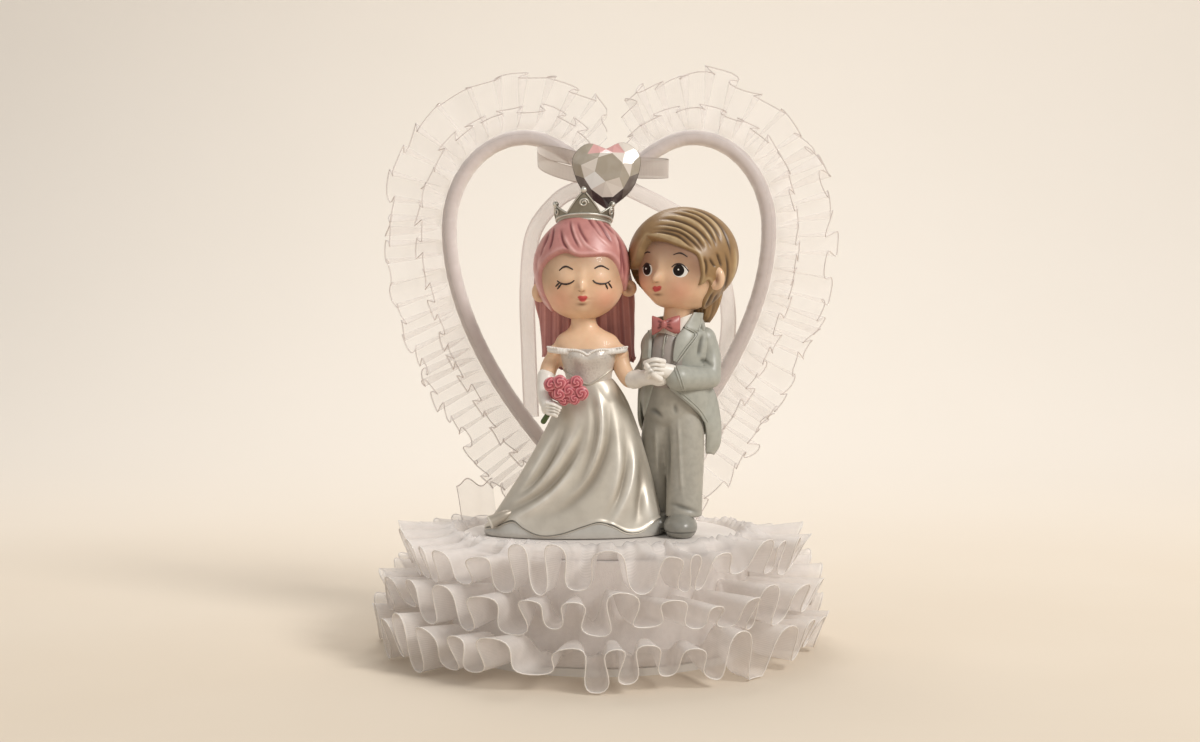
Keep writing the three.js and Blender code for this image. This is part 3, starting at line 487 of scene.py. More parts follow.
def speckled(name, low, high, scale, detail, **sockets):
    """A finish whose colour wanders between two tones."""
    finish = Finish(name, **sockets)
    finish.paint(finish.blend(finish.noise(scale, detail), colour(*low), colour(*high)))
    return finish.material


# Painted reflections on the gem's facets: tones that stand in for what its foil throws back; a kept mark
# picks one by its number
FACET_REFLECTIONS = [colour(*tone) for tone in (
    (80, 70, 71), (118, 108, 103), (182, 171, 154), (234, 178, 174), (238, 228, 217), (255, 253, 249),
)]


def clear_crystal():
    finish = Finish("clear crystal", Transmission_Weight=0.12, IOR=1.49, Roughness=0.06, Coat_Weight=0.0)
    last = len(FACET_REFLECTIONS) - 1
    # The crystal's colour is its facets' painted reflections, one tone for each facet
    tone = finish.ramp(finish.attribute("facet_reflection"), [(i / last, tone) for i, tone in enumerate(FACET_REFLECTIONS)])
    flaw = finish.range(finish.noise(260, 2), 0.4, 0.7, 0, 0.12)
    finish.paint(finish.blend(flaw, tone, colour(235, 228, 222)))
    return finish.material


def silver_foil():
    return speckled("silver foil", (168, 168, 166), (222, 221, 218), 220, 3, Metallic=1.0, Roughness=0.06)


CLOTH = {
    "base": sheer_cloth("base organza", (243, 236, 231), (247, 241, 236), 0.54, 0.7, 0.6, 0.32),
    "arch": sheer_cloth("arch organza", (252, 245, 241), (240, 230, 225), 0.22, 0.4, 0.4, 0.32),
    "ribbon": sheer_cloth("sheer ribbon", (232, 219, 215), (238, 227, 222), 0.5, 0.7, 0.8, 0.36),
    # The bow's loops: the ribbon painted darker than the tails, as painted shade
    "bow": sheer_cloth("bow ribbon", (220, 211, 204), (200, 190, 183), 0.74, 0.45, 0.95, 0.36),
}
THREAD = {
    "base": edge_thread("base hem thread", (240, 233, 226)),
    "arch": edge_thread("arch hem thread", (220, 208, 202), 0.5),
}
CAD_FINISHES = {
    "base_board": plain_cover("plain card", (222, 216, 208), (236, 231, 224), 300, 0.9, 0.00005),
    "base_core": plain_cover("expanded foam", (228, 219, 214), (240, 233, 228), 700, 0.95, 0.0002),
    "base_top_disc": plain_cover("disc satin", (226, 218, 212), (238, 231, 225), 350, 0.5, 0.00005),
    "arch_wire": speckled(
        "drawn wire", (150, 150, 150), (190, 190, 188), 700, 3, Metallic=1.0, Roughness=0.35),
}


# Base

FRILL_WAVES = 32
FRILL_STEPS = 22
FRILL_ROWS = 12
HEM_THREAD = 0.16
THIN_THREAD = 0.12
HEM_LEAN = 2.2  # how far an upper fold leans out, and a lower one in
FRILL_SQUARE = 0.7
HEADING_RISE = 5.2
HEADING_SHARE = 0.16  # share of the cloth's width that its heading takes
FLAT_SHARE = 0.8  # where on its width a frill's flat length is measured
BACK_DROP = 1.6  # how much lower a tier with a heading hangs behind the object
FRILL_LOWEST = 0.6
# Unevenness of a tier: how many random values go round it, and how far they vary
TIER_UNEVEN = {
    "swell": (47, 2.2), "shift": (19, 0.42), "stretch": (53, 0.42),
    "twist": (31, 0.6), "drift": (23, 1.6), "pucker": (230, 0.8),
}
GLUE_GAP = 0.8  # from the core's side to the lower tiers' headings


def base_tier(name, seed, overhang, gathered, start=None, depth=1.0):
    """One gathered tier: cloth that runs from its heading out to a hem that folds up and down."""
    low, high = box_mm("base_ruffle_" + name)
    middle, sway = (low.z + high.z) / 2, (high.z - low.z) / 2 * depth
    hem = high.x - HEM_LEAN
    swell, shift, stretch, twist, drift, pucker = [
        ripple(seed + i, count, size) for i, (count, size) in enumerate(TIER_UNEVEN.values())]

    def place(u, v):
        turns = u * FRILL_WAVES
        along, swing = meander(turns, overhang * (1 + twist(u)), FRILL_SQUARE)
        loose = v ** 0.75
        angle = (mix(turns, along, loose) + shift(u) * loose) / FRILL_WAVES * TURN
        behind = max(0.0, math.sin(angle))
        if swing > 0:
            swing *= 1 - 0.8 * behind
        reach = mix(gathered, hem, v) + (HEM_LEAN * swing + swell(u)) * v ** 1.6
        rise = middle + drift(u) * v + sway * (1 + stretch(u)) * swing * mix(0.75, 1.0, loose)
        if start:
            heading = start + (pucker(u) + HEADING_RISE * (1 - 0.5 * behind)) * ease(0, HEADING_SHARE, v)
            rise = mix(heading, rise - BACK_DROP * behind * v, ease(HEADING_SHARE, 0.5, v))
        return Vector((reach * math.cos(angle), reach * math.sin(angle), max(rise, FRILL_LOWEST)))

    columns = FRILL_WAVES * FRILL_STEPS
    bm = grid(columns, FRILL_ROWS, place, closed=True)
    hem_line = [place(i / columns, 1) for i in range(columns)]
    long = arc_length([place(i / columns, FLAT_SHARE) for i in range(columns + 1)])
    wide = hem - gathered
    measure_cloth(bm, long, wide)
    frill = made("base_frill_" + name, bm, CLOTH["base"], "base", ["base_ruffle_" + name], "organza")
    edge = bmesh.new()
    add_thread(edge, hem_line, HEM_THREAD, closed=True)
    thread = made("base_hem_" + name, edge, THREAD["base"], "base", slot="organza")


def loose_trim():
    """The cut end of the frill that stands behind the gown."""
    low, high = box_mm("base_trim_end")
    tall = high.z - low.z
    wide = high.x - low.x
    columns = 40
    rows = 12

    def place(u, v):
        fold = math.sin(u * TURN * 1.75 + 0.6) * 1.9 * v ** 0.35
        x = mix(mix(high.x - wide * 0.86, high.x, u), mix(low.x, high.x - wide * 0.12, u), v ** 1.2)
        z = low.z + tall * v * (1 - 0.1 * math.cos(u * TURN * 1.5) * v)
        return Vector((x, (low.y + high.y) / 2 + fold, z))

    bm = grid(columns, rows, place)
    hem_line = [place(i / columns, 1) for i in range(columns + 1)]
    long = arc_length(hem_line)
    measure_cloth(bm, long, tall)
    trim = made("base_loose_trim", bm, CLOTH["arch"], "base", ["base_trim_end"], "organza")
    edge = bmesh.new()
    add_thread(edge, hem_line, HEM_THREAD)
    add_thread(edge, [place(0, i / rows) for i in range(rows + 1)], THIN_THREAD)
    thread = made("base_loose_trim_edge", edge, THREAD["arch"], "base", slot="organza")


def dress_base():
    for node, material in CAD_FINISHES.items():
        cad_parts[node].data.materials.clear()
        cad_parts[node].data.materials.append(material)
    glued = CORE_RADIUS + GLUE_GAP
    base_tier("upper", 11, overhang=0.72, gathered=DISC_RADIUS + 0.4, start=CORE_TOP + 0.05, depth=0.84)
    base_tier("middle", 21, overhang=0.8, gathered=glued, depth=0.84)
    base_tier("lower", 31, overhang=0.65, gathered=glued, start=BOARD_TOP + 0.1)
    loose_trim()


# Arch, in millimetres from its foot

HEART_HALF_WIDTH = 50.8
LOBE_HEIGHT = 123
LOBE_X = 26.5
SIDE_HEIGHT = LOBE_HEIGHT - 29
CLEFT_HEIGHT = LOBE_HEIGHT - 13
FOOT_HEIGHT = 12
FOOT_X = 8
LEG_X = 4
WRAP_RADIUS = 2.45


def half_heart():
    """The wire's middle line from the top of the left leg to the cleft."""
    def at(x, z):
        return Vector((-x, 0, z))
    turn = FOOT_HEIGHT / 3
    bulge = HEART_HALF_WIDTH * 0.75
    rise = LOBE_HEIGHT - SIDE_HEIGHT
    side_turn = (SIDE_HEIGHT - FOOT_HEIGHT) * 0.28
    shoulder = LOBE_X + (HEART_HALF_WIDTH - LOBE_X) * 0.58
    curves = [
        (at(LEG_X, 0.3), at(LEG_X, turn * 2), at(FOOT_X - turn, turn * 2), at(FOOT_X, FOOT_HEIGHT)),
        (at(FOOT_X, FOOT_HEIGHT), at(bulge, FOOT_HEIGHT + bulge - FOOT_X),
         at(HEART_HALF_WIDTH, SIDE_HEIGHT - side_turn), at(HEART_HALF_WIDTH, SIDE_HEIGHT)),
        (at(HEART_HALF_WIDTH, SIDE_HEIGHT), at(HEART_HALF_WIDTH, SIDE_HEIGHT + rise * 0.53),
         at(shoulder, LOBE_HEIGHT), at(LOBE_X, LOBE_HEIGHT)),
        (at(LOBE_X, LOBE_HEIGHT), at(LOBE_X * 0.57, LOBE_HEIGHT),
         at(LOBE_X * 0.23, CLEFT_HEIGHT), at(0, CLEFT_HEIGHT)),
    ]
    points = [curves[0][0]]
    for start, out, back, end in curves:
        points += interpolate_bezier(start, out, back, end, 60)[1:]
    return points


HALF_HEART = Track(half_heart())


def mirrored(point):
    return Vector((-point.x, point.y, point.z))


def arch_wrap():
    """The ribbon wound round the wire: a tube with a faint step at each turn of the ribbon."""
    left = half_heart()
    whole = Track([*left, *[mirrored(p) for p in reversed(left[:-1])]])
    winding = 5.2
    step = 0.09

    def place(u, v):
        share = mix(0.0005, 0.9995, u)
        ahead = whole.ahead(share, 0.002)
        outward = Vector((-ahead.z, 0, ahead.x))
        angle = v * TURN
        lap = (share * whole.length / winding + v) % 1
        radius = WRAP_RADIUS - step + step * lap
        sideways = outward * (radius * math.cos(angle))
        return whole.at(share) + sideways + Vector((0, radius * math.sin(angle), 0))

    bm = grid(620, 24, place)
    weld(bm, 1e-3)
    face_outwards(bm)
    made("arch_satin_wrap", bm, satin_wrap(), "arch", ["arch_wrap"], "satin", at=ARCH_FOOT)


ARCH_FRILL_FOOT = 23
ARCH_FRILL_GAP = 12
ARCH_FRILL_WAVES = 17
ARCH_FRILL_STEPS = 20
PLEAT_OVERHANG, PLEAT_SQUARE = 1.25, 2.4
PLEAT_FOLD = 2.0
PLEAT_GAP = 0.15  # between the wrap and the cloth gathered on it
HEM_STEP = {"back": 0.03, "front": 0.09}  # how far the hem steps at each pleat, as a share of its reach


def arch_frill(side, layer, reach, behind, seed, heading=0.0):
    """One pleated length of organza on half of the heart; heading is its lap round the wrap's front."""
    lapped = WRAP_RADIUS + PLEAT_GAP
    pleat, tilt, shift = ripple(seed, 37, 0.085), ripple(seed + 1, 37, 0.09), ripple(seed + 2, 11, 0.42)
    start = ARCH_FRILL_FOOT / HALF_HEART.length
    end = 1 - ARCH_FRILL_GAP / HALF_HEART.length
    wide = heading + reach - lapped

    def place(u, v):
        turns = u * ARCH_FRILL_WAVES
        along, swing = meander(turns, PLEAT_OVERHANG, PLEAT_SQUARE)
        out = v * wide - heading
        open_share = max(0.0, out) / (reach - lapped)
        loose = open_share ** 0.3
        share = mix(start, end, (mix(turns, along, loose) + shift(u) * loose) / ARCH_FRILL_WAVES)
        share = min(max(share, 0.01), 0.99)
        ahead = HALF_HEART.ahead(share, 0.012)
        outward = Vector((-ahead.z, 0, ahead.x))
        uneven = 1 + pleat(u) + tilt(u * 2) * swing + HEM_STEP[layer] * swing
        hem = reach * uneven * (1 - 0.3 * ease(0.94, 1.0, u))
        if out < 0:
            angle = -out / lapped
            point = HALF_HEART.at(share) + outward * (lapped * math.cos(angle))
            point.y = -lapped * math.sin(angle)
        else:
            point = HALF_HEART.at(share) + outward * mix(lapped, hem, open_share)
            point.y = behind * 1.5 * min(1, open_share * 4) + PLEAT_FOLD * swing * mix(0.6, 1.0, open_share)
        point.x = min(point.x, -0.3 - 0.4 * v)
        return point if side == "left" else mirrored(point)

    columns = ARCH_FRILL_WAVES * ARCH_FRILL_STEPS
    bm = grid(columns, 12, place)
    hem_line = [place(i / columns, 1) for i in range(columns + 1)]
    long = arc_length([place(i / columns, FLAT_SHARE) for i in range(columns + 1)])
    measure_cloth(bm, long, wide)
    name = "%s_%s" % (layer, side)
    frill = made(
        "arch_frill_" + name, bm, CLOTH["arch"], "arch", ["arch_ruffle_" + name], "organza", ARCH_FOOT)
    edge = bmesh.new()
    add_thread(edge, hem_line, THIN_THREAD)
    thread = made("arch_hem_" + name, edge, THREAD["arch"], "arch", slot="organza", at=ARCH_FOOT)


# Bow and gem

RIBBON_WIDTH = 5
KNOT = Vector((-0.4, -5.85, CLEFT_HEIGHT + 3.4))
TAILS = {
    "left": [(-4.2, -5.4, 2.4), (-10.2, -5, 3.8), (-16.8, -3, 7.6), (-24.1, 0.5, 17.4),
             (-26.2, 4, 34), (-25.9, 5.4, 54.4), (-25, 5.4, 76)],
    "right": [(3.4, -5.4, 2.2), (8.6, -5, 4.8), (18.3, -2.5, 9.4), (28.5, 1, 16),
              (36, 4, 30), (38.5, 5.4, 45), (36.5, 5.4, 62)],
}


def ribbon_tail(side):
    """A hanging end of the bow's ribbon, cut straight at its foot."""
    points = [Vector((x, y, CLEFT_HEIGHT - drop)) for x, y, drop in TAILS[side]]
    track = Track(through(points, 10))
    wander = ripple(5 if side == "left" else 6, 9, 0.5)

    def place(u, v):
        across = track.ahead(u).cross(Vector((0, 1, 0))).normalized()
        cup = 0.35 * math.sin(v * math.pi) + wander(u * 0.9) * u
        return track.at(u) + across * ((v - 0.5) * RIBBON_WIDTH) + Vector((0, -cup, 0))

    bm = grid(110, 8, place)
    measure_cloth(bm, track.length, RIBBON_WIDTH, both_edges=True)
    made("bow_tail_" + side, bm, CLOTH["ribbon"], "arch", ["ribbon_tail_" + side], "ribbon", ARCH_FOOT)


LOOP_WIDTH = 5.8
BOW_LOOPS = {
    "left": {"length": 19, "depth": 4.4, "tip": 0.72, "slope": 0.26, "rise": -2.0},
    "right": {"length": 15.8, "depth": 2.3, "tip": 0.34, "slope": -0.02, "rise": -0.5},
}


def bow_loop(side):
    """A loop of ribbon held by the knot; tip leans its upper edge back, so that its inside shows."""
    loop = BOW_LOOPS[side]
    sign = -1 if side == "left" else 1
    opening = 0.3
    start = 3.6
    steps = 64
    spread = Vector((0, -math.sin(loop["tip"]), math.cos(loop["tip"])))
    deep = Vector((0, math.cos(loop["tip"]), math.sin(loop["tip"])))

    def place(u, v):
        angle = mix(opening, TURN - opening, u)
        out = loop["length"] / 2 * (math.cos(opening) - math.cos(angle))
        bulge = math.copysign(abs(math.sin(angle)) ** 0.75, math.sin(angle))
        middle = KNOT + Vector((sign * (start + out), 0, loop["rise"] + loop["slope"] * out))
        pinch = mix(0.72, 1.0, ease(0, 5, out))
        return middle + deep * (loop["depth"] * bulge) + spread * ((v - 0.5) * LOOP_WIDTH * pinch)

    bm = grid(steps, 8, place)
    long = arc_length([place(i / steps, 0.5) for i in range(steps + 1)])
    measure_cloth(bm, long, LOOP_WIDTH, both_edges=True)
    made("bow_ribbon_loop_" + side, bm, CLOTH["bow"], "arch", ["bow_loop_" + side], "ribbon", ARCH_FOOT)


def bow_knot():
    """The gathered middle of the bow, with the band of ribbon that ties it."""
    low, high = box_mm("bow_knot")
    half = (high - low) / 2
    bm = bmesh.new()
    bmesh.ops.create_uvsphere(bm, u_segments=48, v_segments=32, radius=1)
    for vert in bm.verts:
        around = math.atan2(vert.co.z, vert.co.y)
        crease = 1 + 0.05 * math.sin(around * 9 + vert.co.x * 3)
        x, y, z = vert.co
        vert.co = Vector((x * half.x * 0.9, y * half.y * crease, z * half.z * crease * 0.94))
    bmesh.ops.translate(bm, verts=bm.verts, vec=(low + high) / 2)
    satin = plain_cover("knot satin", (214, 203, 200), (232, 222, 218), 500, 0.5, 0.0001)
    made("bow_tied_knot", bm, satin, "arch", ["bow_knot"], "ribbon")


GEM_LEAN = Matrix.Rotation(-0.03, 4, "Y")
GEM_FACETS = 12
# The right half of the gem's heart, one wide and one tall, from its cleft to its point
HALF_GEM = Track(through([Vector((x, 0, z)) for x, z in (
    (0, 0.41), (0.24, 0.5), (0.43, 0.39), (0.5, 0.19), (0.36, -0.2), (0, -0.5))], 12))
# Painted reflection tones of the facets round the gem from its cleft, clockwise: the sloped rim, and the ring
# beside the table
RIM_REFLECTIONS = [3, 4, 2, 1, 1, 0, 0, 1, 1, 2, 2, 3]
RING_REFLECTIONS = [4, 4, 4, 2, 4, 4, 4, 5, 5, 4, 2, 4]
TABLE_REFLECTION = 2
TABLE_SIDES = 6
# Rings of the gem, as shares of its heart
CULET, PAVILION, GIRDLE, CROWN = 0.12, 0.62, 0.985, 0.74
GIRDLE_CORNERS = 4 * GEM_FACETS


def heart_outline(share):
    point = HALF_GEM.at(1 - abs(1 - 2 * share))
    return math.copysign(point.x, 0.5 - share), point.z


def heart_ring(bm, size, scale, y, count=GEM_FACETS, turned=0.0):
    """Corners of a smaller heart at a depth."""
    corners = []
    for i in range(count):
        x, z = heart_outline(((i + turned) / count) % 1)
        corners.append(bm.verts.new((x * size.x * scale, y, z * size.z * scale)))
    return corners


def bridge(bm, near, far):
    """Facets between two rings of corners."""
    edges = []
    for loop in (near, far):
        for a, b in zip(loop, loop[1:] + loop[:1]):
            edges.append(bm.edges.get((a, b)) or bm.edges.new((a, b)))
    return bmesh.ops.bridge_loops(bm, edges=edges)["faces"]


def gem():
    """A faceted heart: a crown that slopes to a six-sided table, and a shallow back in a foil cup."""
    low, high = box_mm("gem_crystal")
    size, middle = high - low, (low + high) / 2
    front, back = -size.y / 2, size.y / 2
    table_middle, table_radius = Vector((0.03 * size.x, 0, 0.12 * size.z)), 0.21 * size.x
    bm = bmesh.new()
    facet_reflection = bm.faces.layers.float.new("facet_reflection")
    culet = heart_ring(bm, size, CULET, back - 0.1)
    pavilion = heart_ring(bm, size, PAVILION, back * 0.5)
    girdle_back = heart_ring(bm, size, GIRDLE, 0.3, GIRDLE_CORNERS)
    girdle = heart_ring(bm, size, GIRDLE, -0.2, GIRDLE_CORNERS)
    crown = heart_ring(bm, size, CROWN, front * 0.6, turned=0.5)
    table = []
    for i in range(TABLE_SIDES):
        turn = (i + 0.25) / TABLE_SIDES * TURN
        offset = Vector((math.sin(turn), 0, math.cos(turn))) * table_radius
        table.append(bm.verts.new(table_middle + offset + Vector((0, front + 0.05, 0))))
    bm.faces.new(culet)
    table_face = bm.faces.new(list(reversed(table)))
    rings = {}
    spans = [
        ("back", culet, pavilion), ("back", pavilion, girdle_back), ("rim", girdle_back, girdle),
        ("rim", girdle, crown), ("ring", crown, table),
    ]
    for name, near, far in spans:
        rings.setdefault(name, []).extend(bridge(bm, near, far))
    face_outwards(bm)
    last = len(FACET_REFLECTIONS) - 1
    # Each facet gets a painted reflection tone; faces not listed get the palest
    for face in bm.faces:
        face[facet_reflection] = 1.0
    for name, tones in (("rim", RIM_REFLECTIONS), ("ring", RING_REFLECTIONS)):
        for face in rings[name]:
            centre = face.calc_center_median()
            turn = math.atan2(centre.x, centre.z - 0.05 * size.z) / TURN % 1
            face[facet_reflection] = tones[int(turn * len(tones))] / last
    table_face[facet_reflection] = TABLE_REFLECTION / last
    place = Matrix.Translation(middle) @ GEM_LEAN
    bmesh.ops.transform(bm, matrix=place, verts=bm.verts)
    made("gem_cut_crystal", bm, clear_crystal(), "arch", ["gem_crystal"], "crystal", smooth=False)
    foil_cup(size, back, middle, place)


def foil_cup(size, back, middle, place):
    """The pressed foil round the gem's back, a little apart from it."""
    cup = bmesh.new()
    apart = 0.06
    sole = heart_ring(cup, size, CULET, back - 0.1 + apart)
    wall = heart_ring(cup, size, PAVILION, back * 0.5 + apart)
    lip = heart_ring(cup, size, 1.0, 0.3 + apart, GIRDLE_CORNERS)
    cup.faces.new(sole)
    bridge(cup, sole, wall)
    bridge(cup, wall, lip)
    foot = (box_mm("gem_foil_back")[1].y - middle.y) - 0.05
    outside = heart_ring(cup, size, 0.6, foot)
    bridge(cup, lip, outside)
    cup.faces.new(outside)
    face_outwards(cup)
    bmesh.ops.transform(cup, matrix=place, verts=cup.verts)
    made("gem_pressed_foil", cup, silver_foil(), "arch", ["gem_foil_back"], "foil", smooth=False)


def dress_arch():
    arch_wrap()
    for number, side in enumerate(("left", "right")):
        arch_frill(side, "back", reach=20.4, behind=1, seed=101 + 10 * number)
        arch_frill(side, "front", reach=9.6, behind=-1, seed=131 + 10 * number, heading=3.2)
        ribbon_tail(side)
        bow_loop(side)
    bow_knot()
    gem()


# Figures: shaping by what the photograph's camera sees

def up(x, y, height):
    """A point of the couple, its height counted from the base's top."""
    return Vector((x, y, BASE_TOP + height))


def smooth_line(points, steps=8):
    """A smooth line through pixels of the photograph, as an array of rows."""
    line = through([Vector((across, down, 0)) for across, down in points], steps)
    return np.array([(point.x, point.y) for point in line])


def distance_to(places, line):
    """How far each of the places, in pixels, is from a line of pixels, and at which share of the line."""
    nearest = np.full(len(places), np.inf)
    along = np.zeros(len(places))
    for i, (start, end) in enumerate(zip(line, line[1:])):
        span = end - start
        share = np.clip(((places - start) @ span) / max(span @ span, 1e-9), 0, 1)
        gap = places - start - share[:, None] * span
        far = np.hypot(gap[:, 0], gap[:, 1])
        along = np.where(far < nearest, (i + share) / (len(line) - 1), along)
        nearest = np.minimum(nearest, far)
    return nearest, along


def depth_inside(places, outline):
    """How far inside a closed outline each place is, in pixels; outside it is less than 0."""
    ring = np.vstack([outline, outline[:1]])
    inside = np.zeros(len(places), bool)
    for (x0, y0), (x1, y1) in zip(ring, ring[1:]):
        spans = (y0 > places[:, 1]) != (y1 > places[:, 1])
        if y0 != y1:
            crossing = x0 + (places[:, 1] - y0) * (x1 - x0) / (y1 - y0)
            inside ^= spans & (places[:, 0] < crossing)
    return np.where(inside, 1, -1) * distance_to(places, ring)[0]


class Clay:
    """A bmesh being shaped: its points and normals as arrays, and what the camera sees of them."""

    def __init__(self, bm):
        bm.normal_update()
        self.bm = bm
        self.points = np.array([vert.co[:] for vert in bm.verts])
        self.normals = np.array([vert.normal[:] for vert in bm.verts])
        away = self.points - np.array(CAMERA_PLACE)
        away /= np.linalg.norm(away, axis=1)[:, None]
        self.pixels = pixels_of(self.points)
        self.facing = ease(-0.05, 0.3, -(self.normals * away).sum(axis=1))

    def push(self, amount):
        """Moves each point out along its normal."""
        self.points = self.points + self.normals * amount[:, None]

    def keep(self, name, values):
        layer = self.bm.verts.layers.float.get(name) or self.bm.verts.layers.float.new(name)
        for vert, value in zip(self.bm.verts, values):
            vert[layer] = float(value)

    def done(self):
        for vert, point in zip(self.bm.verts, self.points):
            vert.co = point
        self.bm.normal_update()
        return self.bm

    def spot(self, across, down, wide, tall=None):
        """A soft round mark, 1 at its middle, on the side that the camera sees."""
        x = (self.pixels[:, 0] - across) / wide
        y = (self.pixels[:, 1] - down) / (tall or wide)
        return np.exp(-(x * x + y * y)) * self.facing

    def strongest(self, spots):
        """The strongest of several round marks at each point."""
        return np.max([self.spot(*spot) for spot in spots], axis=0)

    def strokes(self, lines, width, fade=0.3):
        """Soft marks along lines of pixels, 1 on each line, that fade towards its ends."""
        total = np.zeros(len(self.points))
        for line in lines:
            gap, along = distance_to(self.pixels, smooth_line(line))
            ends = ease(0, fade, along) * ease(0, fade, 1 - along)
            total = np.maximum(total, np.exp(-(gap / width) ** 2) * ends)
        return total * self.facing


def surface_of(*meshes):
    """A surface that sight lines can be cast on, from bmeshes that are kept."""
    verts, faces = [], []
    for bm in meshes:
        bm.verts.index_update()
        start = len(verts)
        verts += [vert.co.copy() for vert in bm.verts]
        faces += [[start + vert.index for vert in face.verts] for face in bm.faces]
    return BVHTree.FromPolygons(verts, faces)


def seen(surface, across, down, lift=0.0):
    """The point of a surface that shows at a pixel, raised off it by lift."""
    place, normal, _, _ = surface.ray_cast(CAMERA_PLACE, sight_line(across, down))
    if place is None:
        place, normal, _, _ = surface.find_nearest(at_depth(across, down, -6))
    if normal.dot(sight_line(across, down)) > 0:
        normal = -normal
    return place + normal * lift


def at_depth(across, down, y):
    """The point at a given depth, y, that shows at a pixel."""
    line = sight_line(across, down)
    return CAMERA_PLACE + line * ((y - CAMERA_PLACE.y) / line.y)


def line_on(surface, pixels, lift=0.0, steps=6):
    return [seen(surface, across, down, lift) for across, down in smooth_line(pixels, steps)]


def piping(bm, surface, pixels, radius, lift=0.0, steps=6, taper=None):
    """A raised line laid on a surface; taper is its radius share at its start, middle and end."""
    points = line_on(surface, pixels, lift, steps)
    shares = None
    if taper:
        shares = [float(np.interp(i / (len(points) - 1), (0, 0.5, 1), taper)) for i in range(len(points))]
    add_thread(bm, points, radius, taper=shares)


def pixel_track(points):
    return Track([Vector((*point, 0)) for point in smooth_line(points)])


def patch(surface, left, right, lift, thick, columns=12, rows=24):
    """A pad with rounded edges, laid on a surface between two lines of pixels."""
    left_line, right_line = pixel_track(left), pixel_track(right)

    def place(u, v):
        c, s = rounded(u * TURN, 0.5)
        pixel = left_line.at(v).lerp(right_line.at(v), 0.5 - 0.5 * c)
        return seen(surface, pixel.x, pixel.y, lift + thick / 2 * s)

    bm = grid(2 * columns, rows, place, closed=True)
    close_ends(bm)
    return bm


def level_at(levels, share):
    """Values between rows of numbers, smoothly, with share running 0 to 1 over the rows."""
    place = min(share * (len(levels) - 1), len(levels) - 1 - 1e-9)
    i = int(place)
    rows = [np.array(levels[min(max(k, 0), len(levels) - 1)], float) for k in (i - 1, i, i + 1, i + 2)]
    t = place - i
    slope_in, slope_out = (rows[2] - rows[0]) / 2, (rows[3] - rows[1]) / 2
    blend = (
        2 * t ** 3 - 3 * t ** 2 + 1,
        t ** 3 - 2 * t ** 2 + t,
        -2 * t ** 3 + 3 * t ** 2,
        t ** 3 - t ** 2,
    )
    return blend[0] * rows[1] + blend[1] * slope_in + blend[2] * rows[2] + blend[3] * slope_out


def rounded(angle, power):
    """A point of a circle, squarer as power drops below 1."""
    c, s = math.cos(angle), math.sin(angle)
    return math.copysign(abs(c) ** power, c), math.copysign(abs(s) ** power, s)


def stack(levels, sides=64, rows=40, power=1.0):
    """A closed body through levels of (height, x, y, half width, half depth)."""
    def place(u, v):
        height, x, y, wide, deep = level_at(levels, v)
        c, s = rounded(u * TURN, power)
        return up(x + wide * c, y + deep * s, height)
    bm = grid(sides, rows, place, closed=True)
    close_ends(bm)
    return bm


def limb(bm, joints, radii, steps=8):
    """A rounded arm or finger through joints, with a radius at each."""
    line = through([Vector(joint) for joint in joints], steps)
    widest = max(radii)
    taper = [float(np.interp(i / steps, range(len(radii)), radii)) / widest for i in range(len(line))]
    add_thread(bm, line, widest, taper=taper, sides=6)
    for end, radius in ((line[0], radii[0]), (line[-1], radii[-1])):
        ball(bm, end, (radius * 0.985,) * 3, detail=3)


def carve(bm, lines, width, depth, shade):
    """Cuts grooves along lines of pixels, and paints shade into them."""
    clay = Clay(bm)
    grooves = clay.strokes(lines, width)
    clay.push(-depth * grooves)
    clay.keep("shade", -shade * grooves)
    return clay.done()


def add_fingers(bm, joints, radii, steps):
    """Four fingers side by side; each joint is a pixel, its step from finger to finger, and y."""
    for i in range(4):
        points = []
        for across, down, right, below, y in joints:
            points.append(at_depth(across + i * right, down + i * below, y))
        limb(bm, points, radii, steps)


def finger_gaps(pixels):
    """The three lines between four fingers; each pixel is given with its step from gap to gap."""
    return [[(across, down + i * below) for across, down, below in pixels] for i in range(3)]


def fused(bm, voxel, rounds=3):
    """Melts overlapping closed shapes into one skin."""
    mesh = bpy.data.meshes.new("fused")
    bm.to_mesh(mesh)
    bm.free()
    lump = put("fused", mesh)
    remesh = lump.modifiers.new("remesh", "REMESH")
    remesh.mode = "VOXEL"
    remesh.voxel_size = voxel
    whole = bmesh.new()
    whole.from_object(lump, bpy.context.evaluated_depsgraph_get())
    bpy.data.objects.remove(lump)
    bpy.data.meshes.remove(mesh)
    for _ in range(rounds):
        bmesh.ops.smooth_vert(
            whole, verts=whole.verts, factor=0.5, use_axis_x=True, use_axis_y=True, use_axis_z=True)
    return whole


# Figure finishes

def cast_paint(name, low, middle, high, roughness=0.42, coat=0.12, metal=0.0, grain=420):
    """Painted resin over a brushed mottle: the kept shade runs from -1, painted shade in grooves, to 1,
    painted highlight on ridges.
    """
    finish = Finish(name, Roughness=roughness, Coat_Weight=coat, Coat_Roughness=0.25, Metallic=metal)
    paint = finish.use_group(CAST_PAINT, Place=finish.object_place(), Scale=grain)
    stops = [(0, colour(*low)), (0.5, colour(*middle)), (1, colour(*high))]
    # Painted shade in grooves and painted highlights on ridges, from the kept shade mark
    tone = finish.ramp(finish.range(finish.attribute("shade"), -1, 1), stops)
    share = finish.range(paint["Mottle"], 0.35, 0.7, 0.0, 0.35)
    finish.paint(finish.blend(share, tone, finish.blend(0.5, tone, colour(*low))))
    finish.bump(paint["Height"], 0.00004, 0.3)
    return finish.material


# The grooves' mark is painted shade, in the face's grooves and below the hair's edge.
BLUSH_SHARE = 0.45  # how strongly the marks for cheeks and grooves colour the skin
PAINTED_SHADE_SHARE = 0.8


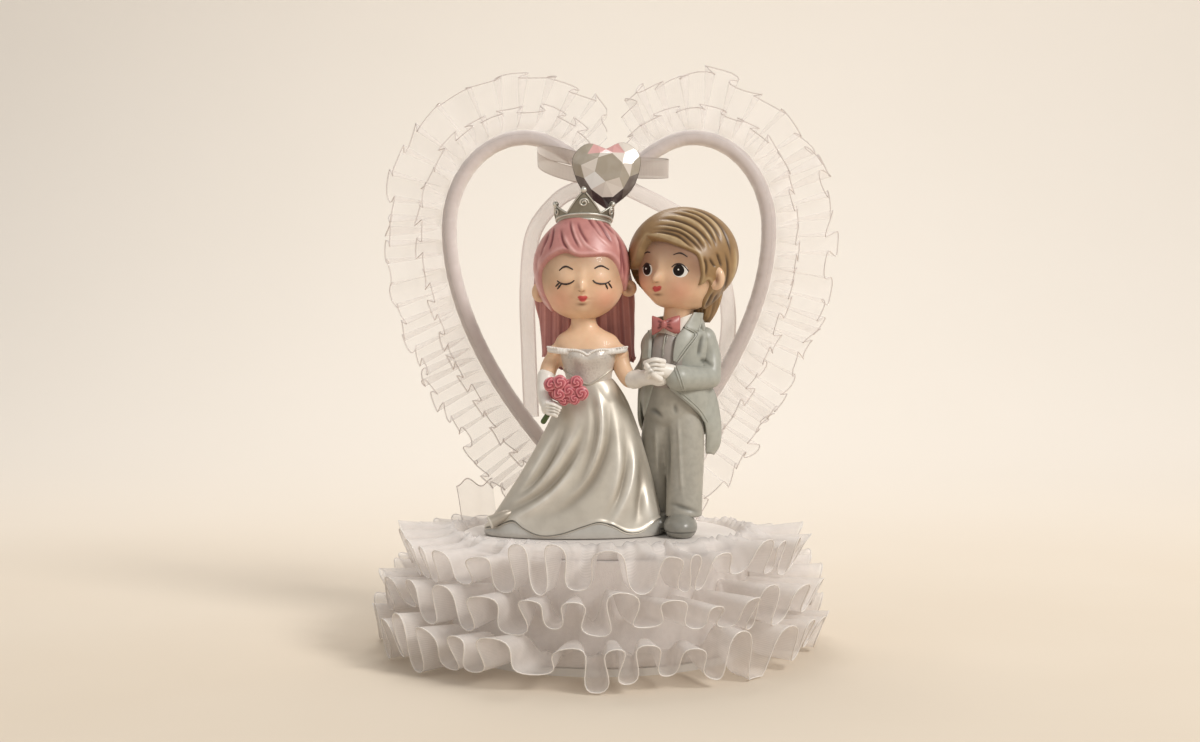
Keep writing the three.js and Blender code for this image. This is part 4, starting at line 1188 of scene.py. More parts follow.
def skin_paint():
    """Flesh paint with airbrushed cheeks, red lips and painted shade in grooves and under the hair, each from
    a mark kept on the mesh.
    """
    finish = Finish(
        "flesh paint", Roughness=0.48, Coat_Weight=0.08, Subsurface_Weight=0.06, Subsurface_Scale=0.001)
    paint = finish.use_group(CAST_PAINT, Place=finish.object_place(), Scale=260)
    mottle = finish.range(paint["Mottle"], 0.3, 0.7)
    flesh = finish.blend(mottle, colour(225, 187, 152), colour(233, 196, 162))
    blush = finish.math("MULTIPLY", finish.attribute("blush"), BLUSH_SHARE)
    rosy = finish.blend(blush, flesh, colour(236, 154, 132))
    # Painted shade, dark brown, in the face's grooves and in the hair's painted shadow
    painted_shade = finish.math("MULTIPLY", finish.attribute("painted_shade"), PAINTED_SHADE_SHARE)
    shaded = finish.blend(painted_shade, rosy, colour(112, 70, 50))
    lips = finish.blend(finish.attribute("lips"), shaded, colour(198, 74, 72))
    finish.paint(lips)
    finish.bump(paint["Height"], 0.00003, 0.25)
    return finish.material


def lace_paint():
    """The bodice: pale silver paint over fine embossed lace."""
    finish = Finish("lace paint", Roughness=0.4, Metallic=0.25, Coat_Weight=0.15)
    lace = finish.node("ShaderNodeTexVoronoi", feature="DISTANCE_TO_EDGE")
    lace.inputs["Scale"].default_value = 900
    finish.link(finish.object_place(), lace.inputs["Vector"])
    mesh_lines = finish.range(lace.outputs["Distance"], 0.02, 0.22)
    mottle = finish.range(finish.noise(300, 4), 0.35, 0.65)
    ground = finish.blend(mottle, colour(200, 191, 182), colour(212, 204, 194))
    finish.paint(finish.blend(mesh_lines, colour(212, 204, 195), ground))
    finish.bump(mesh_lines, 0.00006, 0.5)
    return finish.material


PAINT = {
    "skin": skin_paint(),
    "lace": lace_paint(),
    "line": cast_paint("line paint", (30, 18, 16), (46, 28, 24), (64, 42, 36), 0.5),
    "eye": speckled("eye paint", (14, 9, 8), (30, 19, 15), 900, 2, Roughness=0.3, Specular_IOR_Level=0.25),
    "white": cast_paint("white paint", (206, 198, 190), (238, 233, 226), (250, 247, 243), 0.35),
    "pink_hair": cast_paint("pink hair paint", (136, 74, 74), (199, 136, 130), (232, 182, 176), 0.4),
    "brown_hair": cast_paint("brown hair paint", (80, 57, 32), (152, 119, 78), (202, 177, 136), 0.42),
    # Silver whose low and high tones are painted shade and painted highlight, following the kept shade mark
    "silver": cast_paint("silver with painted shade", (118, 113, 101), (164, 160, 148), (222, 219, 210), 0.4, metal=0.6),
    "gown": cast_paint(
        "pearl satin", (150, 139, 124), (206, 198, 184), (236, 230, 219), coat=0.15, metal=0.4, grain=240),
    "band": cast_paint("hem band", (150, 146, 138), (192, 188, 180), (228, 225, 219), 0.34, 0.2, 0.2),
    "glove": cast_paint("glove paint", (172, 164, 152), (240, 234, 225), (250, 247, 242), 0.36),
    "rose": cast_paint("rose paint", (150, 54, 66), (208, 116, 122), (238, 172, 174), 0.4),
    "green": cast_paint("stem paint", (44, 58, 22), (78, 94, 44), (110, 126, 66), 0.45),
    "coat": cast_paint("coat paint", (96, 96, 88), (172, 172, 162), (206, 206, 196), 0.42),
    "trousers": cast_paint("trouser paint", (88, 87, 80), (172, 167, 155), (198, 193, 181), 0.45),
    "shoe": cast_paint("shoe paint", (84, 83, 76), (146, 143, 134), (180, 177, 168), 0.34, 0.25),
    "vest": cast_paint("vest paint", (104, 96, 90), (158, 148, 141), (182, 173, 166), 0.45),
    "shirt": cast_paint("shirt paint", (186, 178, 166), (230, 224, 214), (242, 238, 231), 0.4),
    "tie": cast_paint("tie paint", (112, 52, 52), (178, 106, 102), (214, 150, 146), 0.38),
}


def cast(name, bm, paint, node=None, slot=None):
    """A painted piece of the couple; it stands for a CAD node where one is named. Its slot, or its paint's
    name where no slot is given, is passed to made, which doesn't use it."""
    return made(name, bm, PAINT[paint], "base", [node] if node else (), slot or paint)


def cast_limb(name, joints, radii, paint, node):
    """A painted piece that is one limb."""
    bm = bmesh.new()
    limb(bm, joints, radii)
    cast(name, bm, paint, node)


# Heads

def opening_depth(pixels, opening):
    """How far inside a face's opening in the hair each pixel is."""
    return depth_inside(pixels, smooth_line([*opening, opening[0]], 5)[:-1])


LIP_EDGE = (0.3, 0.55)  # how strong a lip mark is where its paint starts, and where it is full
# The hair's shade is a painted shadow on the face, below the hair's edge.
HAIR_SHADE_FADE = 30  # pixels over which the hair's shade fades out above its foot
# Grooves and ridges of combed hair: width in pixels, how far they are pushed, and their share of the painted
# shade in grooves and painted highlight on ridges
HAIR_CUT = (1.1, 0.45, 0.95)
HAIR_RIDGE = (1.5, 0.3, 0.55)


def face_head(name, centre, size, marks, opening):
    """A bare head: an egg with features pushed out of it, with painted shade in its grooves and painted
    shadow where the hair overhangs its opening.
    """
    bm = bmesh.new()
    ball(bm, centre, size, detail=7)
    clay = Clay(bm)
    amount = np.zeros(len(clay.points))
    for across, down, wide, tall, height in marks["bumps"]:
        amount += clay.spot(across, down, wide, tall) * height
    clay.push(amount)
    # Painted shade in the face's grooves, and the hair's painted shadow below its edge
    painted_shade = clay.strongest(marks["grooves"])
    reach, foot, depth = marks["hair_shade"]
    under = np.maximum(opening_depth(clay.pixels, opening), 0)
    shade = np.exp(-(under / reach) ** 2) * ease(foot, foot - HAIR_SHADE_FADE, clay.pixels[:, 1])
    painted_shade = np.maximum(painted_shade, shade * depth)
    clay.keep("blush", clay.strongest(marks["blush"]))
    clay.keep("lips", ease(*LIP_EDGE, clay.strongest(marks["lips"])))
    clay.keep("painted_shade", painted_shade)
    clay.done()
    surface = surface_of(bm)
    if "neck" in marks:
        limb(bm, *marks["neck"])
    for ear in marks["ears"]:
        add_ear(bm, *ear)
    cast(name + "_face", bm, "skin", name + "_head")
    return surface


def add_ear(bm, centre, size, turn, hollow):
    """An ear: a flat egg with a hollow in painted shade, where the pixel named hollow falls."""
    ear = bmesh.new()
    ball(ear, centre, size, turn, detail=5)
    clay = Clay(ear)
    dent = clay.spot(*hollow)
    clay.push(dent * -1.1)
    clay.keep("painted_shade", dent * 0.8)
    clay.keep("blush", dent * 0.25)
    clay.keep("lips", dent * 0)
    merge(bm, clay.done())


def egg_reach(directions, centre, size):
    """How far an egg round a centre reaches from the origin in each direction."""
    scaled, start = directions / np.array(size), np.array(centre) / np.array(size)
    a, b, c = (scaled * scaled).sum(axis=1), -2 * scaled @ start, start @ start - 1
    return (np.sqrt(b * b - 4 * a * c) - b) / (2 * a)


def hair_cap(head, head_size, centre, size, opening, grooves, ridges, quiff=0.0, thin=0.9):
    """A cap of hair, at least thin over the head and sunk into it where the face shows, with combed grooves.

    quiff is how much its front rises under what sits there."""
    bm = bmesh.new()
    ball(bm, Vector(), (1, 1, 1), detail=7)
    directions = np.array([vert.co[:] for vert in bm.verts])
    reach = egg_reach(directions, centre - head, size)
    reach = np.maximum(reach, egg_reach(directions, (0, 0, 0), head_size) + thin)
    for vert, far in zip(bm.verts, reach):
        vert.co = head + vert.co * float(far)
    clay = Clay(bm)
    inside = opening_depth(clay.pixels, opening)
    front = clay.points[:, 1] < centre.y + 3
    sink = ease(-1.5, 3.5, inside) * front
    cut_width, cut_depth, cut_shade = HAIR_CUT
    ridge_width, ridge_height, ridge_shade = HAIR_RIDGE
    cut = clay.strokes(grooves, cut_width)
    raised = clay.strokes(ridges, ridge_width)
    fine = comb(clay.points - np.array(centre))
    amount = raised * ridge_height - cut * cut_depth + fine * 0.08
    toward = np.array(head) - clay.points
    clay.push(amount * (1 - sink))
    offset = clay.points - np.array(centre)
    across, deep, rise = offset.T
    front_top = np.exp(-(across / 9.5) ** 2 - ((deep + 7) / 6) ** 2) * ease(4, 10, rise)
    clay.points[:, 2] += quiff * front_top
    clay.points = clay.points + toward * (0.3 * sink)[:, None]
    edge = np.exp(-((inside + 2.6) / 1.6) ** 2) * front
    # Painted highlights on the ridges and along the fringe's edge, painted shade in the grooves, and a faint
    # strand pattern
    shade = raised * ridge_shade + edge * 0.3 - cut * cut_shade + fine * 0.15
    clay.keep("shade", np.clip(shade, -1, 1))
    return clay.done()


def comb(offsets):
    """Fine strands round the crown, for the sides that the photograph doesn't show."""
    angle = np.arctan2(offsets[:, 1], offsets[:, 0])
    return np.sin(angle * 46 + offsets[:, 2] * 0.25) * ease(-4, 4, offsets[:, 1])


def lines_on_face(name, surface, lines, radius):
    """Painted brows and lash lines."""
    bm = bmesh.new()
    for pixels in lines:
        piping(bm, surface, pixels, radius, taper=(0.6, 1.0, 0.6))
    cast(name, bm, "line", slot="skin")


def painted_spot(name, surface, across, down, wide, tall, lift, paint):
    """A painted oval on a face."""
    def place(u, v):
        angle = u * TURN
        return seen(surface, across + wide * v * math.cos(angle), down + tall * v * math.sin(angle),
                    lift * math.sqrt(max(0.0, 1 - v ** 4)) + 0.02)
    bm = grid(32, 6, place)
    weld(bm, 1e-3)
    face_outwards(bm)
    cast(name, bm, paint, slot="skin")


# Bride; its marks are pixels of the photograph

BRIDE_HEAD = up(-5.5, -3.5, 78.6)
BRIDE_HEAD_SIZE = (13.3, 12.6, 13.7)
BRIDE_HAIR = up(-5.5, -2.2, 81.2)
BRIDE_HAIR_SIZE = (14.7, 14.4, 14.4)

# Marks on a head: across and down, width and height, and how far a bump stands out.
# The hair's painted shadow on the face: its reach, its foot and its depth. An ear: its place, size, turn and
# hollow.
BRIDE_MARKS = {
    "bumps": [
        (581.5, 287.2, 3.7, 4.6, 2.2), (581.5, 278, 4.5, 9, 0.5),
        (560.8, 298, 17, 15, 0.8), (603.7, 298, 17, 15, 0.8),
        (565.6, 279, 9, 6, 0.5), (601.4, 278.8, 9, 6, 0.5),
        (582.5, 296.6, 5.2, 2.6, 0.65), (582.4, 300.2, 4.2, 2.4, 0.6),
        (582.4, 298.5, 7, 0.9, -0.3), (581.5, 309, 8, 5, 0.6),
    ],
    "blush": [(560, 298, 12.5), (604.5, 298, 12.5)],
    "lips": [(580.8, 296.4, 3.2, 1.9), (584.4, 296.4, 3.2, 1.9), (582.6, 298.2, 4.0, 2.0)],
    # Spots of painted shade: the nostrils, between the lips and under the lower lip
    "grooves": [
        (579.8, 289.4, 1.2, 0.9), (583.4, 289.4, 1.2, 0.9),
        (582.5, 298.4, 3.6, 0.6), (581.5, 303.2, 4, 1.4),
    ],
    "hair_shade": (14, 302, 0.58),
    "ears": [
        (up(-18.2, -2.6, 73.4), (2.6, 1.6, 3.1), -0.4, (541.5, 294, 3.4, 5)),
        (up(8.6, -2.4, 74.6), (2.8, 1.5, 2.6), 0.5, (629.5, 288, 3.4, 4.4)),
    ],
}
BRIDE_LINES = [
    [(559.3, 270.5), (562.9, 267.4), (566.9, 266.6), (573, 269.5)],
    [(594.5, 268.5), (598.6, 266.4), (602.7, 266.2), (608.8, 269.5)],
    [(557.2, 280.9), (560.8, 283.2), (565.9, 284.2), (571, 282.8), (574.4, 280.4)],
    [(592.7, 280.1), (596, 282.8), (601.1, 283.8), (606.2, 283.2), (610.3, 280.9)],
    [(559.5, 282.8), (555.7, 286.4)],
    [(561.5, 283.8), (557.4, 289)],
    [(605.2, 283.5), (607.8, 289)],
    [(608.3, 282.5), (611.9, 288)],
]
BRIDE_FACE_OPENING = [
    (558.8, 251.3), (566, 250.5), (578.2, 255.2), (591.4, 255.2), (606.7, 254.6), (614.4, 258.5),
    (619.4, 266.6), (622.4, 276.8), (625, 289), (624, 312), (600, 334), (566, 334), (550, 305),
    (542.5, 292), (539.4, 279), (541, 268), (548, 258),
]
BRIDE_HAIR_GROOVES = [
    [(576.5, 228), (581.2, 236), (590, 246)],
    [(586, 223.5), (593, 231), (605, 243)],
    [(569.5, 226), (572, 236), (580.5, 250)],
    [(602, 226), (609, 232), (617, 240)],
    [(593, 224), (603, 233), (614, 246)],
    [(560, 232), (563, 243), (570, 251)],
    [(554, 229), (552, 240), (548, 252)],
    [(551, 231), (544, 246), (539, 262)],
    [(612, 232), (621, 246), (624.5, 266), (625, 286)],
    [(618, 240), (621.5, 256), (622.5, 280)],
]
BRIDE_HAIR_RIDGES = [
    [(563, 236), (569, 246), (577.5, 254.5)],
    [(577, 234), (587, 246), (601, 253)],
    [(590, 227), (601, 240), (614, 250)],
    [(570.5, 227), (575, 238), (583, 250)],
    [(536.5, 236), (534.6, 262), (536.5, 282), (544, 298)],
    [(607, 229), (617, 242), (622, 258)],
    [(547, 240), (541, 256), (538, 272)],
]


LONG_HAIR_LEVELS = [
    (49.2, -3.4, 5.2, 13.6, 2.4), (51, -3.4, 5.6, 14.6, 3.6), (56, -3.6, 6.0, 14.4, 4.0),
    (64, -4.0, 6.0, 14.8, 4.6), (72, -4.8, 5.0, 15.4, 6.0), (81, -5.4, 3.2, 14.2, 8.6),
    (86, -5.5, 1.4, 11.5, 8.4),
]
HAIR_ENDS = (54, 49.5)  # heights where the long hair's ends start to differ, and where they fully do


def bride_hair():
    """The swept fringe and sides, and the long straight hair behind the shoulders."""
    cap = hair_cap(
        BRIDE_HEAD, BRIDE_HEAD_SIZE, BRIDE_HAIR, BRIDE_HAIR_SIZE, BRIDE_FACE_OPENING,
        BRIDE_HAIR_GROOVES, BRIDE_HAIR_RIDGES, quiff=2.4)
    cast("bride_hair_cap", cap, "pink_hair", "bride_hair")
    clay = Clay(stack(LONG_HAIR_LEVELS, 220, 70, 0.9))
    angle = np.arctan2(clay.points[:, 1] - 5, clay.points[:, 0] + 4)
    height = clay.points[:, 2] - BASE_TOP
    across = clay.points[:, 0] * (1 + 0.003 * (height - 60)) + np.sin(height * 0.09) * 0.5
    flat = np.sin(across * 1.7) * 0.5 + np.sin(across * 4.3 + 1) * 0.3 + np.sin(across * 7.9) * 0.2
    round_edge = np.sin(angle * 29 + height * 0.05)
    wave = mix(round_edge, flat, ease(0.3, 0.7, np.abs(clay.normals[:, 1])))
    clay.push(wave * 0.17)
    clay.points[:, 2] += ease(*HAIR_ENDS, height) * (flat * 1.3 + 0.04 * (across + 3.4) ** 2 * 0.5)
    # Painted shade over the long hair, with painted light and shade along its waves
    clay.keep("shade", np.clip(wave * 0.4 - 0.25, -1, 1))
    cast("bride_long_hair", clay.done(), "pink_hair")


TIARA = up(-4.8, -2.6, 95.8)
TIARA_RADIUS = 8.1
TIARA_FLARE = 0.38
TIARA_FOOT = -1.3
TIARA_PEAKS = [(-90, 37, 7.3), (-153, 30, 4.3), (-27, 30, 4.3)]
TIARA_BAND = 1.0
TIARA_THICK = 0.9
TIARA_DIP = 1.4
SCROLL_STEPS, SCROLL_TURNS = 25, 1.5
EDGE_STEPS = 12


def tiara_rise(angle):
    """The tiara's height over its foot at an angle round it, in degrees."""
    rise = TIARA_BAND
    for middle, half, height in TIARA_PEAKS:
        off = abs((angle - middle + 180) % 360 - 180) / half
        if off < 1:
            rise = max(rise, mix(TIARA_BAND, height, (1 - off) ** 1.15))
    return rise


def tiara_dip(turned):
    """How much lower the tiara sits towards its back."""
    return TIARA_DIP * (1 + np.sin(turned))


def tiara_point(angle, height, out=0.0):
    turned = math.radians(angle)
    radius = TIARA_RADIUS + TIARA_FLARE * height + out
    return TIARA + Vector((radius * math.cos(turned), radius * math.sin(turned), height - tiara_dip(turned)))


def tiara():
    """A crown with three points: a band, concave sides, a ball on each tip and scrolls in relief."""
    def place(u, v):
        angle = u * 360 - 90
        height = mix(TIARA_FOOT, tiara_rise(angle), 1 - abs(1 - 2 * v))
        return tiara_point(angle, height, 0 if v < 0.5 else -TIARA_THICK)

    bm = grid(240, 21, place, closed=True)
    for height in (TIARA_FOOT + 0.4, TIARA_BAND - 0.35):
        add_thread(bm, [tiara_point(a * 3, height, 0.1) for a in range(120)], 0.34, closed=True)
    for middle, half, height in TIARA_PEAKS:
        ball(bm, tiara_point(middle, height + 0.2, -0.3), (0.95,) * 3, detail=4)
        scroll = []
        for i in range(SCROLL_STEPS + 1):
            share = i / SCROLL_STEPS
            curl = share * TURN * SCROLL_TURNS
            size = mix(1.2, 0.35, share)
            turn = curl + (0 if middle == -90 else 1)
            degrees = math.degrees(size * math.cos(turn) / TIARA_RADIUS)
            scroll.append(tiara_point(middle + degrees, height * 0.45 + 0.5 + size * math.sin(turn), 0.2))
        add_thread(bm, scroll, 0.27)
        for side in (-1, 1):
            edge = []
            for i in range(EDGE_STEPS):
                angle = middle + side * half * (1 - i / EDGE_STEPS)
                edge.append(tiara_point(angle, tiara_rise(angle), 0.02))
            add_thread(bm, edge, 0.26)
    face_outwards(bm)
    clay = Clay(bm)
    across, deep, height = (clay.points - np.array(TIARA)).T
    height = height + tiara_dip(np.arctan2(deep, across))
    raised = np.hypot(across, deep) - TIARA_RADIUS - height * TIARA_FLARE
    band = ease(TIARA_BAND + 0.1, TIARA_BAND - 0.3, height)
    # Painted highlights on the raised threads, balls, scrolls and band; painted shade on the plain faces
    clay.keep("shade", np.clip((raised - 0.12) * 3.2 + 0.5 * band, -0.7, 0.9))
    cast("bride_cast_tiara", clay.done(), "silver", "bride_tiara")


GOWN = {
    "y": -4.0, "waist": 47.4, "hem_left": -33.6, "hem_right": 18.6, "waist_left": -10.4, "waist_right": 3.4,
    "hem_depth": 13.3, "waist_depth": 5.4, "floor": 0.3,
}
# The wave of the gown's edge over the band: x and height
GOWN_EDGE = [
    (-36, 2.0), (-31, 3.6), (-27, 5.4), (-22.5, 3.4), (-17, 1.6), (-11.5, 2.0), (-5.5, 4.1),
    (-0.5, 5.4), (4, 4.2), (8, 2.2), (12, 2.3), (17, 5.0), (20, 5.4),
]
GOWN_EDGE_LEVEL = 3  # the bell's height that gives an angle its x on that edge
PIPING_STEPS = 200
GOWN_RIDGES = [
    [(588, 396), (580, 422), (572, 440), (560, 460), (544, 478), (524, 494), (500, 508)],
    [(583, 446), (572.5, 468), (560, 486), (543, 502), (520, 515), (498, 524)],
    [(592.5, 376), (599, 400), (601, 421), (599, 442), (592, 464), (580, 488)],
    [(608, 392), (618, 437), (619.5, 462), (616.5, 489), (612.5, 513), (607, 534)],
    [(627, 408), (633.5, 449), (631.5, 475), (626, 496), (614, 520), (604, 536)],
    [(602, 370), (606, 384), (610, 404)],
    [(560, 420), (545, 452), (530, 478), (508, 502)],
    [(640, 460), (646, 497), (652, 520), (658, 534)],
]
GOWN_GROOVES = [
    [(590, 396), (582, 434), (572.5, 455), (559, 476), (540, 494), (507, 513), (488, 522)],
    [(588, 376), (594.5, 408), (596, 428), (592, 452), (582, 478), (566, 500)],
    [(622, 416), (626, 462), (622, 486), (613, 508), (602, 530)],
    [(606, 384), (609, 425), (606, 452), (592, 482), (566, 508), (530, 526)],
    [(572, 408), (553, 452), (534, 482), (510, 504)],
    [(638, 436), (642, 478), (640, 504), (634, 532)],
]


def gown_point(angle, height, out=0.0):
    """A point of the skirt's plain bell, pushed out by a little."""
    drop = min(max((GOWN["waist"] - height) / (GOWN["waist"] - 4), 0), 1.06)
    left = mix(GOWN["waist_left"], GOWN["hem_left"], drop ** 1.25) - out
    right = mix(GOWN["waist_right"], GOWN["hem_right"], drop ** 0.7) + out
    deep = mix(GOWN["waist_depth"], GOWN["hem_depth"], drop ** 0.8) + out
    middle, half = (left + right) / 2, (right - left) / 2
    return up(middle + half * math.cos(angle), GOWN["y"] + deep * math.sin(angle), height)


def gown():
    """The skirt: a bell with folds that sweep to its left, over the band that shows below its waved edge."""
    edge = through([Vector((x, 0, height)) for x, height in GOWN_EDGE], 8)
    edge_x, edge_height = [p.x for p in edge], [p.z for p in edge]

    def edge_at(angle):
        return float(np.interp(gown_point(angle, GOWN_EDGE_LEVEL).x, edge_x, edge_height))

    def skirt(u, v):
        angle = u * TURN
        low = edge_at(angle)
        lip = 0.45 * (1 - min(v / 0.03, 1)) ** 2
        return gown_point(angle, mix(low, GOWN["waist"], v ** 1.05), lip)

    bm = grid(260, 110, skirt, closed=True)
    face_outwards(bm)
    clay = Clay(bm)
    height = clay.points[:, 2] - BASE_TOP
    ridges = clay.strokes(GOWN_RIDGES, 6.0, 0.45)
    thin = clay.strokes(GOWN_RIDGES[1:3] + GOWN_RIDGES[4:5], 2.6, 0.5)
    grooves = clay.strokes(GOWN_GROOVES, 4.6, 0.45)
    angle = np.arctan2(clay.points[:, 1] - GOWN["y"], clay.points[:, 0] + 5)
    behind = np.sin(angle * 9 + height * 0.05) * (1 - clay.facing)
    fade = ease(0, 4, height) * ease(GOWN["waist"] + 1, GOWN["waist"] - 8, height)
    clay.push((ridges * 0.8 + thin * 0.3 - grooves * 1.1 + behind * 0.8) * fade)
    # Painted highlights on the fold ridges and painted shade in the fold grooves
    clay.keep("shade", np.clip((ridges * 0.45 + thin * 0.3 - grooves * 0.75) * fade, -1, 1))
    add_tip_roll(clay.done())
    cast("bride_gown_folds", bm, "gown", "bride_gown")
    petticoat(edge_at)


def petticoat(edge_at):
    """The pale band below the gown's edge, and the piping along that edge."""
    def band(u, v):
        angle = u * TURN
        inset = -0.5 + 0.35 * math.sin(v * math.pi)
        return gown_point(angle, mix(GOWN["floor"], edge_at(angle) + 1.2, v), inset)

    hem = grid(220, 14, band, closed=True)
    close_ends(hem)
    line = bmesh.new()
    points = []
    for i in range(PIPING_STEPS):
        angle = i / PIPING_STEPS * TURN
        points.append(gown_point(angle, edge_at(angle) - 0.55, -0.12))
    add_thread(line, points, 0.2, closed=True)
    cast("bride_hem_piping", line, "gown")
    cast("bride_petticoat", hem, "band", "bride_hem_band", slot="gown")


# The rolled edge's outline: how far along it, and its radius
TIP_ROLL = [(0.0, 0.8), (0.3, 1.6), (0.7, 1.8), (0.95, 2.0), (1.0, 1.85), (0.98, 1.4), (0.8, 0.9), (0.6, 0.2)]


def add_tip_roll(bm):
    """The rolled edge where the skirt trails out, open at its end."""
    start, end = up(-26.0, -9.8, 7.6), up(-33.0, -11.4, 4.4)
    ahead = (end - start).normalized()
    around = ahead.to_track_quat("Z", "Y").to_matrix()

    def place(u, v):
        far, radius = level_at(TIP_ROLL, v)
        ring = Vector((math.cos(u * TURN) * radius, math.sin(u * TURN) * radius, 0))
        return start.lerp(end, far) + around @ ring

    tip = grid(32, 40, place, closed=True)
    face_outwards(tip)
    # Painted shade along the roll, and a painted highlight round its open rim
    layer = tip.verts.layers.float.new("shade")
    for vert in tip.verts:
        far = (vert.co - start).dot(ahead) / (end - start).length
        vert[layer] = float(mix(-0.5, 0.5, ease(0.9, 0.99, far)))
    merge(bm, tip)


NECKLINE = [
    (565, 351.5), (570, 350.3), (577, 350.6), (583, 352.6), (587.3, 355), (591.5, 352.4),
    (597, 350.2), (604, 349.6), (609, 349.8),
]
WAIST_LINE = [(563.5, 370), (576, 378.6), (588.5, 384.3), (600, 378), (611.5, 369)]


CHEST_LEVELS = [
    (46, -3.6, -4.2, 6.0, 4.6), (51, -3.7, -4.3, 7.8, 5.6), (55, -3.8, -4.2, 9.4, 6.0),
    (57.6, -3.8, -3.9, 10.0, 5.6), (60.2, -4.0, -3.6, 8.6, 4.8), (62, -4.4, -3.5, 5.6, 4.0),
    (64, -4.9, -3.5, 3.9, 3.7), (69, -5.2, -3.5, 3.8, 3.7),
]
BODICE_LEVELS = [
    (46.4, -3.4, -4.3, 6.7, 5.5), (50, -3.5, -4.5, 7.4, 6.1), (53.4, -3.6, -4.7, 8.4, 6.9),
    (56.2, -3.6, -4.5, 9.0, 6.8),
]


def bride_body():
    """Neck and shoulders, and what is worn on them."""
    chest = stack(CHEST_LEVELS, 96, 80)
    for x in (-13.2, 5.8):
        ball(chest, up(x, -3.7, 54.2), (3.0, 3.2, 3.6), detail=4)
    chest = fused(chest, 0.45, 4)
    cast("bride_bare_shoulders", chest, "skin", "bride_shoulders")
    lace_bodice()
    sleeve_band()


def lace_bodice():
    """The bodice, with a beaded neckline and piping at its waist."""
    def cup(u, v):
        height, x, y, wide, deep = level_at(BODICE_LEVELS, v)
        c, s = rounded(u * TURN, 0.9)
        front = max(0.0, -s)
        middle = math.exp(-((wide * c) / 1.6) ** 2) * front
        bust = math.exp(-((abs(c) - 0.42) / 0.3) ** 2) * front * math.exp(-((v - 0.72) / 0.24) ** 2)
        height -= 1.5 * middle * v ** 3
        height -= (1 - v) ** 2 * 1.6 * front * math.exp(-(c / 0.5) ** 2)
        return up(x + wide * c, y + deep * s - 0.8 * bust, height)

    bodice = grid(120, 40, cup, closed=True)
    close_ends(bodice)
    surface = surface_of(bodice)
    trim = bmesh.new()
    for across, down in smooth_line(NECKLINE, 4):
        ball(trim, seen(surface, across, down, 0.15), (0.42,) * 3, detail=2)
    cast("bride_neckline_beads", trim, "white", slot="lace")
    waist = bmesh.new()
    piping(waist, surface, WAIST_LINE, 0.32, 0.1)
    cast("bride_waist_piping", waist, "gown")
    cast("bride_lace_bodice", bodice, "lace", "bride_bodice")


BAND_LOW, BAND_HIGH = 54.2, 56.2
BAND_X, BAND_Y = -3.8, -4.1
BAND_WIDE, BAND_DEEP, BAND_ROLL = 11.3, 6.6, 0.8
BAND_SQUARE, BAND_LIFT, BAND_GATHERS = 0.72, 0.9, 60
BEADS_WIDE, BEADS_DEEP, BEADS_HEIGHT, BEADS_EACH_SIDE = 12.0, 7.4, 55.9, 7


def sleeve_band():
    """The gathered band that runs off the shoulders round both arms and the back."""
    def place(u, v):
        angle = u * TURN
        c, s = rounded(angle, BAND_SQUARE)
        front = max(0.0, -s) * (1 - min(1, abs(c) * 1.15))
        turn = v * TURN
        frill = 1 + 0.1 * math.sin(angle * BAND_GATHERS) * math.cos(turn)
        wide = BAND_WIDE + BAND_ROLL * math.cos(turn) * frill
        deep = BAND_DEEP + BAND_ROLL * math.cos(turn) * frill - 1.6 * front
        height = mix(BAND_LOW, BAND_HIGH, 0.5 + 0.5 * math.sin(turn) * frill) + BAND_LIFT * abs(c) ** 2
        return up(BAND_X + wide * c, BAND_Y + deep * s, height)

    bm = grid(240, 16, place, closed=True)
    weld(bm, 1e-3)
    face_outwards(bm)
    for side in (-1, 1):
        for i in range(BEADS_EACH_SIDE):
            angle = -math.pi / 2 + side * mix(0.75, 1.5, i / (BEADS_EACH_SIDE - 1))
            c, s = rounded(angle, BAND_SQUARE)
            height = BEADS_HEIGHT + BAND_LIFT * abs(c) ** 2
            ball(bm, up(BAND_X + BEADS_WIDE * c, BAND_Y + BEADS_DEEP * s, height), (0.36,) * 3, detail=2)
    cast("bride_shoulder_band", bm, "white", "bride_sleeve_band", slot="lace")


BRIDE_FINGERS = [(547.0, 403.6, 0.3, 3.2, -16.2), (553, 405, 0.2, 3.1, -17), (560, 408, -1.2, 2.7, -16)]
BRIDE_FINGER_GAPS = [(548, 405.6, 3.1), (554, 406.6, 3), (560, 409.4, 2.6)]
CUFF_RADIUS = 2.75
CUFF_SINK = 0.99
CUFF_STEPS = 24


def cuff_line(centre):
    """A ring round the top of the right glove."""
    across = Vector((-0.6, -0.6, 0)).normalized().cross(Vector((0, 0, 1)))
    points = []
    for i in range(CUFF_STEPS):
        angle = i / CUFF_STEPS * TURN
        side = across * (CUFF_RADIUS * math.cos(angle)) * CUFF_SINK
        rise = Vector((0, 0, CUFF_RADIUS * math.sin(angle))) * CUFF_SINK
        points.append(centre + Vector((0.35 * math.cos(angle), 0, 0)) + side + rise)
    return points


